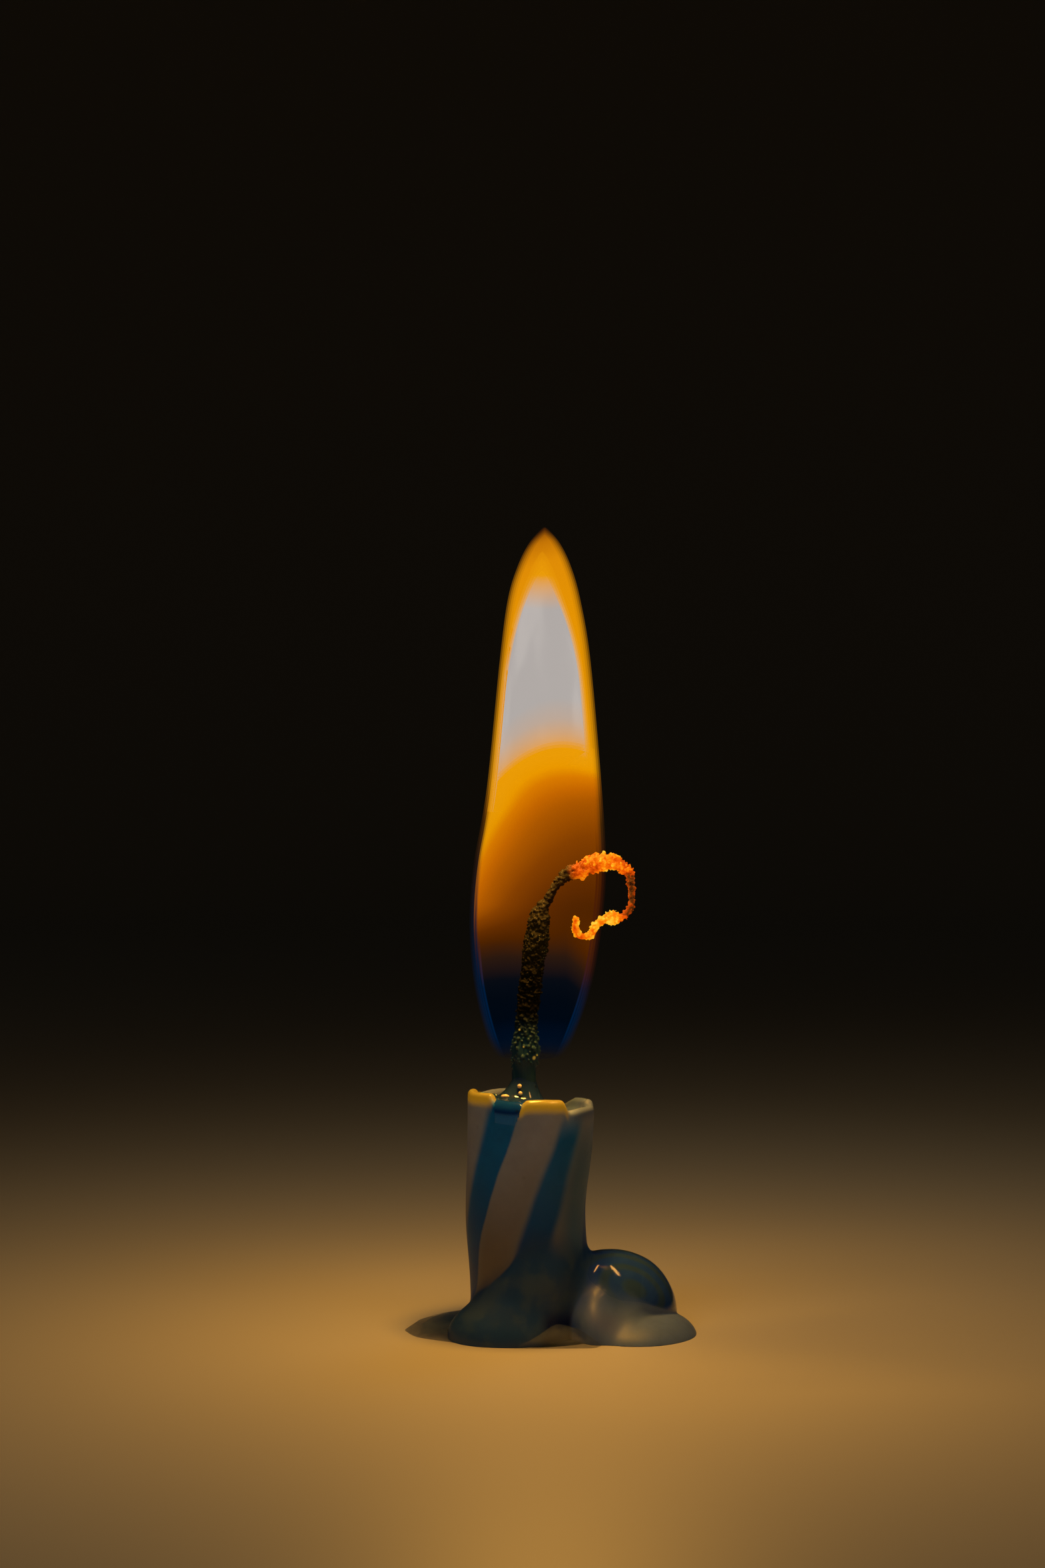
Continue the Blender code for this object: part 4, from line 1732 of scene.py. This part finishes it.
    def make(self) -> Piece:
        """Builds and dresses the wick.

        Returns:
            The piece.
        """
        rng = np.random.default_rng(self.seed)
        path = smooth_path(self.route, self.steps)
        height, row = path[:, 2], np.arange(len(path)) / self.steps
        ember = eased(*self.ember, row)
        dry = np.maximum(eased(*self.dry, height), ember)
        length = np.linalg.norm(np.gradient(path[:, :3], axis=0), axis=1)
        bulk = length * path[:, 3]
        thick = eased(0.12, 0.3, path[:, 3])
        chances = {
            WickPart.DAMP: length * (1 - dry) * eased(*self.damp, height),
            WickPart.CHARRED: bulk * dry * (1 - ember),
            WickPart.EMBER: bulk * ember,
        }
        core = self.core(path, 0.97 - 0.08 * dry - 0.12 * ember * thick, 1.0 - 0.35 * ember * thick)
        crust = [self.crust(path, chances[kind.part] + 1e-9, kind, rng) for kind in self.crumbs]
        points, faces = remeshed([core, *crust], self.voxel)
        piece = new_piece("wick_crust", points, faces)

        route = path[:, :3]
        squared = (points**2).sum(1)[:, None] - 2 * points @ route.T + (route**2).sum(1)[None]
        nearest = squared.argmin(1)
        away = np.sqrt(np.maximum(squared[np.arange(len(points)), nearest], 0)) / path[nearest, 3]
        paint(piece, "wet", 1.0 - dry[nearest])
        paint(piece, "ember", ember[nearest])
        paint(piece, "crumb", eased(0.8, 1.15, away))
        paint(piece, "sparkle", self.sparkle(height, row)[nearest])
        paint(piece, "glow", looked_up(row[nearest], self.glow))
        paint(piece, "foot_glint", self.foot_glint(points))
        piece.data.materials.append(self.finish.material())
        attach(piece, "root")
        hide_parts("wick")
        return piece


# ---- the flame


class FlamePart(Enum):
    """The kinds of luminous skin in a flame."""

    MANTLE = "mantle"
    HOLLOW = "hollow"
    HEART = "heart"


@dataclass(frozen=True)
class FlameShell:
    """One luminous skin of the flame. Its near wall is hardly seen, and its far wall shows, as in real fire.

    Colours are by height in millimetres. The heart's skins have one colour each, which goes over into the
    mantle's orange at both ends.
    """

    name: str
    part: FlamePart
    inset: float
    solidity: float
    colours: Stops
    lift: float = 0.0
    blue_top: float = 18.7


@dataclass(frozen=True)
class FlameFinish:
    """How the skins' light changes over the flame. Heights in millimetres."""

    foot: float = 12.9
    tip: float = 38.05
    flicker: float = 0.3
    arch: float = 0.165
    arch_middle: float = 1.5
    lean: float = 0.6
    lean_full: float = 24.5
    lean_none: float = 27.0
    bend_none: float = 18.0
    bend_full: float = 20.3
    right_lift: float = 0.9
    orange: Colour = (0.83, 0.335, 0.003)
    smoke: Colour = (0.46, 0.465, 0.47)
    blue: Stops = (
        (12.9, (0.0, 0.006, 0.022)), (13.9, (0.0, 0.011, 0.042)), (17.2, (0.0, 0.011, 0.042)),
        (18.7, (0.003, 0.009, 0.026)), (20.3, (0.012, 0.010, 0.016)), (22.2, (0.030, 0.012, 0.008)),
        (24.0, (0.12, 0.04, 0.002)), (25.2, (0.35, 0.10, 0.001)), (26.2, (0.70, 0.25, 0.002)),
    )
    inner: float = 1.7
    outer: float = 2.9
    right_colours: Stops = (
        (12.9, (0.0, 0.006, 0.022)), (14.8, (0.0, 0.011, 0.042)), (16.2, (0.014, 0.008, 0.020)),
        (17.0, (0.055, 0.010, 0.005)), (22.0, (0.075, 0.012, 0.0)), (24.0, (0.18, 0.04, 0.0)),
        (25.5, (0.30, 0.075, 0.0)), (26.6, (0.66, 0.21, 0.001)), (27.4, (0.80, 0.31, 0.001)),
    )
    mantle_fade: Pairs = (
        (12.9, 0.0), (13.3, 0.2), (13.9, 0.65), (14.6, 0.9), (16.0, 0.95), (24.0, 1.0), (34.5, 1.0),
        (36.4, 0.85), (37.4, 0.65), (38.05, 0.4),
    )
    hollow_fade: Pairs = (
        (13.0, 0.2), (13.8, 0.75), (14.6, 0.95), (17.5, 0.95), (20.0, 0.98), (23.0, 1.0),
    )
    heart_fade: Pairs = ((26.7, 0.0), (27.4, 1.0))
    whitening: Pairs = ((27.3, 0.0), (27.8, 0.2), (28.3, 0.5), (29.0, 0.82), (30.0, 1.0))
    yellowing: Pairs = ((34.2, 1.0), (35.0, 0.5), (35.8, 0.0))
    right_fade: Pairs = ((21.5, 1.0), (24.0, 0.0))
    right_thinning: Pairs = ((15.5, 0.0), (17.0, 0.3), (24.5, 0.3), (27.0, 0.0))
    blue_fade: float = 2.5
    veil: Pairs = ((19.0, 0.0), (24.0, 0.02))
    wisps: tuple[float, float] = (0.55, 0.16)
    wisp_turn: float = math.radians(24)

    def by_height(self, build: Shader, share: object, stops: tuple) -> Socket:
        """A ramp over the flame's height.

        Args:
            build: The material's builder.
            share: The height as a share of the flame's.
            stops: Heights in millimetres, each with a colour or a single value.

        Returns:
            The colour's socket.
        """
        span = self.tip - self.foot
        places = [((height - self.foot) / span, value) for height, value in stops]
        return build.ramp(share, [(place, (v,) * 3 if isinstance(v, float) else v) for place, v in places])

    def material(self, shell: FlameShell) -> Material:
        """Builds a skin's material.

        Args:
            shell: The skin.

        Returns:
            The material.
        """
        material, build, shader = principled(
            shell.name.replace("_", " "), Base_Color=BLACK, Roughness=1.0, Specular_IOR_Level=0.0,
            Emission_Strength=1.0,
        )
        sizes = {name: getattr(self, name.replace(" ", "_")) * MM for name in FLAME_LENGTHS}
        place = build.place()
        group = build.group(height_group(), Place=place, Arch=self.arch / MM, Lean=self.lean, **sizes)
        height, level, right = (group.outputs[name] for name in ("Height", "Level", "Right"))
        bands = partial(self.by_height, build)
        near: object = BLACK
        if shell.part is FlamePart.HEART:
            white = build.times(bands(height, self.whitening), bands(level, self.yellowing))
            colour = build.blend(white, self.orange, self.heart_colour(build, shell, place))
            fade = bands(height, self.heart_fade)
        elif shell.part is FlamePart.HOLLOW:
            colour, fade = bands(height, shell.colours), bands(level, self.hollow_fade)
            near = bands(level, self.veil)
        else:
            low = bands(level, ((shell.blue_top - self.blue_fade, 1.0), (shell.blue_top, 0.0)))
            colour = build.blend(low, bands(height, shell.colours), bands(level, self.blue))
            ruddy = build.times(right, bands(level, self.right_fade))
            colour = build.blend(ruddy, colour, bands(level, self.right_colours))
            thin = build.times(right, bands(level, self.right_thinning))
            fade = build.times(bands(level, self.mantle_fade), build.minus(1.0, thin))
            near = bands(level, self.veil)
        behind = build.add("ShaderNodeNewGeometry").outputs["Backfacing"]
        solid = build.blend(behind, near, build.times(fade, shell.solidity))
        build.fill(shader, Emission_Color=colour, Alpha=solid)
        return material

    def heart_colour(self, build: Shader, shell: FlameShell, place: Socket) -> object:
        """The colour of the heart's white stretch, which has grey wisps in its innermost skin.

        Args:
            build: The material's builder.
            shell: The skin.
            place: The position on the object.

        Returns:
            The colour or its socket.
        """
        plain = shell.colours[0][1]
        if shell.solidity < 1.0:
            return plain
        across, up = (count / MM for count in self.wisps)
        turned = build.add(
            "ShaderNodeMapping", Vector=place, Rotation=(0.0, self.wisp_turn, 0.0), Scale=(across, across, up)
        )
        wisps = build.noise(turned.outputs["Vector"], 1.0, 2.0)
        return build.blend(build.ease(wisps, 0.4, 0.6), plain, self.smoke)


@dataclass
class Flame:
    """The flame: an orange mantle with a blue foot, an amber hollow and a white-hot heart. Millimetres."""

    finish: FlameFinish = FlameFinish()
    # Height, middle along X and radius.
    outline: tuple[Point, ...] = (
        (12.9, -0.06, 1.57), (14.1, -0.02, 2.06), (15.7, 0.06, 2.55), (17.3, 0.14, 2.87), (19.5, 0.24, 3.09),
        (22.1, 0.42, 3.07), (25.7, 0.63, 2.66), (31.7, 0.67, 2.09), (34.6, 0.62, 1.66), (36.2, 0.63, 1.2),
        (37.3, 0.64, 0.66), (38.05, 0.65, 0.0),
    )
    columns: int = 72
    rings: int = 96
    heart_foot: float = 24.6
    heart_top: float = 36.0
    heart_shift: float = -0.1
    heart_taper: float = 0.583
    heart_point: float = 0.74
    heart_rounding: float = 0.35
    tip_crowding: float = 1.35
    hollow_top: float = 27.62
    hollow_dome_rings: int = 20
    meeting_rounds: int = 30
    least_radius: float = 0.02
    arch_across: float = 0.25
    fire: Stops = (
        (28.0, (0.80, 0.31, 0.001)), (34.3, (0.78, 0.29, 0.001)), (36.6, (0.76, 0.27, 0.002)),
        (37.5, (0.60, 0.19, 0.002)), (38.05, (0.25, 0.06, 0.002)),
    )
    amber: Stops = (
        (18.5, (0.074, 0.016, 0.0)), (20.0, (0.127, 0.026, 0.0)), (22.0, (0.238, 0.051, 0.0)),
        (24.0, (0.423, 0.098, 0.0)), (25.0, (0.558, 0.133, 0.0)), (26.0, (0.694, 0.195, 0.0)),
        (26.7, (0.823, 0.314, 0.0)), (27.3, (0.83, 0.33, 0.002)),
    )

    def profile(self, height: Array) -> tuple[Array, Array]:
        """The flame's form at each height.

        Args:
            height: Heights in millimetres.

        Returns:
            The flame's middle along X and its radius, in millimetres.
        """
        path = smooth_path(self.outline, 24)
        rows = path[np.argsort(path[:, 0])]
        return looked_up(height, rows), looked_up(height, rows[:, [0, 2]])

    def top_of(self, inset: float) -> float:
        """The height at which the flame is as thin as an inset.

        Args:
            inset: How far a skin lies inside the outline, in millimetres.

        Returns:
            The height of that skin's tip.
        """
        heights = np.linspace(30.0, self.outline[-1][0], 800)
        radius = self.profile(heights)[1]
        return float(heights[np.nonzero(radius > inset)[0][-1]])

    def skin(self, inset: float, bottom: float, top: float, taper: float = 0.0, shift: float = 0.0) -> Mesh:
        """A closed skin inside the flame's outline.

        Args:
            inset: How far it lies inside the outline.
            bottom: The height of its foot.
            top: The height of its tip.
            taper: How slender it becomes towards its tip, or 0 to follow the outline.
            shift: How far it is moved along X.

        Returns:
            Its vertices and faces.
        """
        angle = turns(self.columns)
        rows = []
        share = 1.0 - (1.0 - np.linspace(0.0, 1.0, self.rings)) ** self.tip_crowding
        for height in (bottom + (top - bottom) * share)[:-1]:
            middle, radius = self.profile(height)
            radius = max(radius - inset, self.least_radius)
            if taper:
                slim = taper * max(top - height, 0.0) ** self.heart_point
                radius = max(float(blend_min(radius, slim, self.heart_rounding)), self.least_radius)
            spot = around(radius, angle, middle + shift)
            rows.append(np.column_stack([*spot, np.full(self.columns, height)]))
        return self.closed(rows, (float(self.profile(top)[0]) + shift, 0.0, top))

    def closed(self, rows: list[Array], tip: Point) -> Mesh:
        """Joins rings into a skin with a tip and a flat foot.

        Args:
            rows: Rings of vertices from the foot up.
            tip: The topmost vertex.

        Returns:
            The vertices and faces.
        """
        middle = rows[0].mean(axis=0)
        rings = [*(middle + (rows[0] - middle) * share for share in (0.3, 0.65)), *rows]
        return np.concatenate([*rings, [middle], [tip]]), capped_faces(len(rings), self.columns)

    def ceiling(self, x: Array, y: Array, lift: float) -> Array:
        """The height of the hollow's arched top."""
        aside = x - self.finish.arch_middle
        return self.hollow_top + lift - self.finish.arch * aside**2 - self.arch_across * y**2

    def ring(self, height: Array, inset: float) -> tuple[Array, Array]:
        """One ring inside the flame's outline.

        Args:
            height: The height of each of its vertices.
            inset: How far it lies inside the outline.

        Returns:
            Its vertices' places along X and Y.
        """
        middle, radius = self.profile(height)
        return around(radius - inset, turns(self.columns), middle)

    def hollow(self, inset: float, bottom: float, lift: float) -> Mesh:
        """The amber hollow: it follows the outline and ends in an arched top.

        Args:
            inset: How far it lies inside the outline.
            bottom: The height of its foot.
            lift: How much higher its top is than the hollow's own.

        Returns:
            Its vertices and faces.
        """
        meet = np.full(self.columns, self.hollow_top)
        for _ in range(self.meeting_rounds):
            meet += 0.4 * (self.ceiling(*self.ring(meet, inset), lift) - meet)
        rows = []
        for share in np.linspace(0.0, 1.0, self.rings - self.hollow_dome_rings):
            height = bottom + (meet - bottom) * share
            rows.append(np.column_stack([*self.ring(height, inset), height]))
        rim = rows[-1][:, :2]
        centre = np.array([self.finish.arch_middle, 0.0])
        for share in np.linspace(1.0, 0.0, self.hollow_dome_rings + 1)[1:-1]:
            spot = centre + (rim - centre) * share
            rows.append(np.column_stack([spot, self.ceiling(*spot.T, lift)]))
        return self.closed(rows, (self.finish.arch_middle, 0.0, self.hollow_top + lift))

    def shells(self) -> list[FlameShell]:
        """Lists the flame's skins.

        Returns:
            The skins, part by part from the outermost in.
        """
        dark = (
            (13.2, (0.0, 0.002, 0.006)), (14.5, (0.0002, 0.0018, 0.0045)), (15.5, (0.0006, 0.0020, 0.0040)),
            (16.5, (0.002, 0.003, 0.005)), (17.5, (0.022, 0.009, 0.004)),
        )
        blue = ((14.5, (0.0, 0.005, 0.018)), (16.5, (0.002, 0.005, 0.012)), (17.5, (0.024, 0.008, 0.006)))
        dusk = ((14.5, (0.0, 0.003, 0.010)), (16.5, (0.003, 0.004, 0.006)), (17.5, (0.026, 0.008, 0.003)))
        fire = self.amber + self.fire
        mantle, hollow, heart = FlamePart.MANTLE, FlamePart.HOLLOW, FlamePart.HEART
        return [
            FlameShell("flame_mantle_outer", mantle, -0.06, 0.18, fire, blue_top=27.0),
            FlameShell("flame_mantle_second", mantle, 0.02, 0.32, fire, blue_top=26.8),
            FlameShell("flame_mantle_third", mantle, 0.11, 0.48, fire, blue_top=26.0),
            FlameShell("flame_mantle_fourth", mantle, 0.21, 0.66, fire, blue_top=22.5),
            FlameShell("flame_mantle_inner", mantle, 0.31, 1.0, fire),
            FlameShell("flame_hollow_outer", hollow, 0.14, 0.35, blue + self.amber, 0.3),
            FlameShell("flame_hollow_middle", hollow, 0.26, 0.55, dusk + self.amber, 0.15),
            FlameShell("flame_hollow_inner", hollow, 0.4, 1.0, dark + self.amber),
            FlameShell("flame_heart_outer", heart, 0.22, 0.35, ((30.0, (0.80, 0.36, 0.03)),), 0.9),
            FlameShell("flame_heart_second", heart, 0.30, 0.4, ((30.0, (0.72, 0.42, 0.16)),), 0.55),
            FlameShell("flame_heart_third", heart, 0.38, 0.5, ((30.0, (0.58, 0.45, 0.33)),), 0.25),
            FlameShell("flame_heart_inner", heart, 0.46, 1.0, ((30.0, (0.40, 0.41, 0.42)),)),
        ]

    def make(self) -> list[Piece]:
        """Builds and dresses the flame.

        Returns:
            Its skins, the outermost of each part first.
        """
        foot = self.outline[0][0]
        pieces = []
        for shell in self.shells():
            if shell.part is FlamePart.MANTLE:
                points, faces = self.skin(shell.inset, foot, self.top_of(shell.inset))
            elif shell.part is FlamePart.HOLLOW:
                points, faces = self.hollow(shell.inset, foot + 0.1, shell.lift)
            else:
                top = self.heart_top + shell.lift
                points, faces = self.skin(
                    shell.inset, self.heart_foot, top, self.heart_taper, self.heart_shift
                )
            piece = new_piece(shell.name, points, faces)
            piece.data.materials.append(self.finish.material(shell))
            piece.visible_shadow = False
            piece.visible_diffuse = False
            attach(piece, "root")
            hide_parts("flame")
            pieces.append(piece)
        return pieces


# ---- the studio


@dataclass(frozen=True)
class SoftLamp:
    """A square soft lamp that faces the candle and that shiny surfaces don't show. Millimetres, watts."""

    name: str
    place: Point
    size: float
    power: float
    colour: Colour


@dataclass
class Studio:
    """Floor, backdrop, lamps and camera. Millimetres and watts."""

    camera_place: Point = (-0.4, -130.0, 27.6)
    camera_target: Point = (-0.4, 0.0, 25.9)
    lens: float = 63.0
    sensor: float = 36.0
    floor_radius: float = 300.0
    sweep_radius: float = 200.0
    wall_height: float = 270.0
    columns: int = 96
    floor_tone: Colour = (0.50, 0.455, 0.31)
    floor_cloud: Colour = (0.39, 0.355, 0.245)
    lamps: tuple[SoftLamp, ...] = (
        SoftLamp("key", (-80, -90, 135), 80, 0.0025, (1.0, 0.96, 0.89)),
        SoftLamp("fill", (120, -110, 70), 110, 0.0014, (0.93, 0.96, 1.0)),
        SoftLamp("rim", (60, 95, 130), 70, 0.0012, (1.0, 0.98, 0.95)),
    )
    lamp_target: Point = (0.0, 0.0, 10.0)
    spread: float = math.radians(42)
    glow_place: Point = (0.5, -1.7, 26.0)
    glow_radius: float = 2.2
    glow_power: float = 0.027
    glow_colour: Colour = (1.0, 0.47, 0.06)
    ember_place: Point = (7.0, -3.9, 22.0)
    ember_size: tuple[float, float] = (8.5, 1.4)
    ember_turn: float = math.radians(-66)
    ember_power: float = 0.0004
    ember_colour: Colour = (1.0, 0.46, 0.10)
    surround: tuple[float, ...] = (0.75, 0.8, 0.9, 1.0)
    surround_strength: float = 0.009

    def make_floor(self) -> None:
        """A round pale floor that sweeps up into a backdrop all round."""
        profile = [(radius, 0.0) for radius in (4.0, 40.0, 120.0, 210.0, self.floor_radius)]
        for bend in np.linspace(0.0, math.pi / 2, 24)[1:]:
            out = self.floor_radius + self.sweep_radius * math.sin(bend)
            profile.append((out, self.sweep_radius * (1.0 - math.cos(bend))))
        profile.append((profile[-1][0], self.wall_height))
        turn = turns(self.columns)
        rows = [np.column_stack([*around(r, turn), 0 * turn + z]) for r, z in profile]
        faces = grid_faces(len(profile), self.columns)
        middle = len(rows) * self.columns
        faces += [(middle, side, (side + 1) % self.columns) for side in range(self.columns)]
        floor = new_piece("floor", np.concatenate([*rows, [[0.0, 0.0, 0.0]]]), faces)
        material, build, shader = principled("pale floor", Roughness=0.5)
        tone = build.ease(build.noise(build.place(), 0.02 / MM, 2.0), 0.3, 0.7, 0.0, 0.06)
        build.fill(shader, Base_Color=build.blend(tone, self.floor_tone, self.floor_cloud))
        floor.data.materials.append(material)

    def add_light(self, name: str, kind: str, place: Point, power: float, colour: Colour) -> Piece:
        """Adds a light.

        Args:
            name: The light's name.
            kind: Its type, AREA or POINT.
            place: Where it is, in millimetres.
            power: Its power in watts.
            colour: Its colour.

        Returns:
            The light.
        """
        data = bpy.data.lights.new(name, kind)
        data.energy = power
        data.color = colour
        light = bpy.data.objects.new(name, data)
        bpy.context.scene.collection.objects.link(light)
        light.location = Vector(place) * MM
        return light

    def make_lamps(self) -> None:
        """Soft studio lamps, a dim surround, and the glow of the flame and of the wick's ember."""
        for lamp in self.lamps:
            light = self.add_light(lamp.name, "AREA", lamp.place, lamp.power, lamp.colour)
            light.data.size = lamp.size * MM
            light.data.spread = self.spread
            light.visible_glossy = False
            aim = (Vector(self.lamp_target) - Vector(lamp.place)) * MM
            light.rotation_euler = aim.to_track_quat("-Z", "Y").to_euler()
        glow = self.add_light("flame glow", "POINT", self.glow_place, self.glow_power, self.glow_colour)
        glow.data.shadow_soft_size = self.glow_radius * MM
        ember = self.add_light("ember glow", "AREA", self.ember_place, self.ember_power, self.ember_colour)
        ember.data.shape = "ELLIPSE"
        ember.data.size, ember.data.size_y = (side * MM for side in self.ember_size)
        ember.rotation_euler = (0.0, 0.0, self.ember_turn)
        ember.visible_camera = False
        world = bpy.data.worlds.new("surround")
        world.use_nodes = True
        background = world.node_tree.nodes["Background"]
        background.inputs["Color"].default_value = self.surround
        background.inputs["Strength"].default_value = self.surround_strength
        scene = bpy.context.scene
        scene.world = world
        scene.view_settings.view_transform = "Standard"
        scene.cycles.transparent_max_bounces = 32
        scene.cycles.diffuse_bounces = 3

    def make_camera(self) -> None:
        """The camera, nearly level and close."""
        data = bpy.data.cameras.new("camera")
        data.lens = self.lens
        data.sensor_width = self.sensor
        data.clip_start = 5 * MM
        data.clip_end = 5.0
        camera = bpy.data.objects.new("camera", data)
        bpy.context.scene.collection.objects.link(camera)
        camera.location = Vector(self.camera_place) * MM
        aim = Vector(self.camera_target) - Vector(self.camera_place)
        camera.rotation_euler = aim.to_track_quat("-Z", "Y").to_euler()
        bpy.context.scene.camera = camera


def main() -> None:
    """Loads the frame and builds everything round it."""
    logging.basicConfig(level=logging.INFO, format="%(name)s: %(message)s")
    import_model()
    for maker in (WaxBody(), WaxFilm(), MeltPool(), Wick(), Flame()):
        made = maker.make()
        for piece in made if isinstance(made, list) else [made]:
            LOG.info("%s: %d faces", piece.name, len(piece.data.polygons))
    studio = Studio()
    studio.make_floor()
    studio.make_lamps()
    studio.make_camera()


if __name__ == "__main__":
    main()
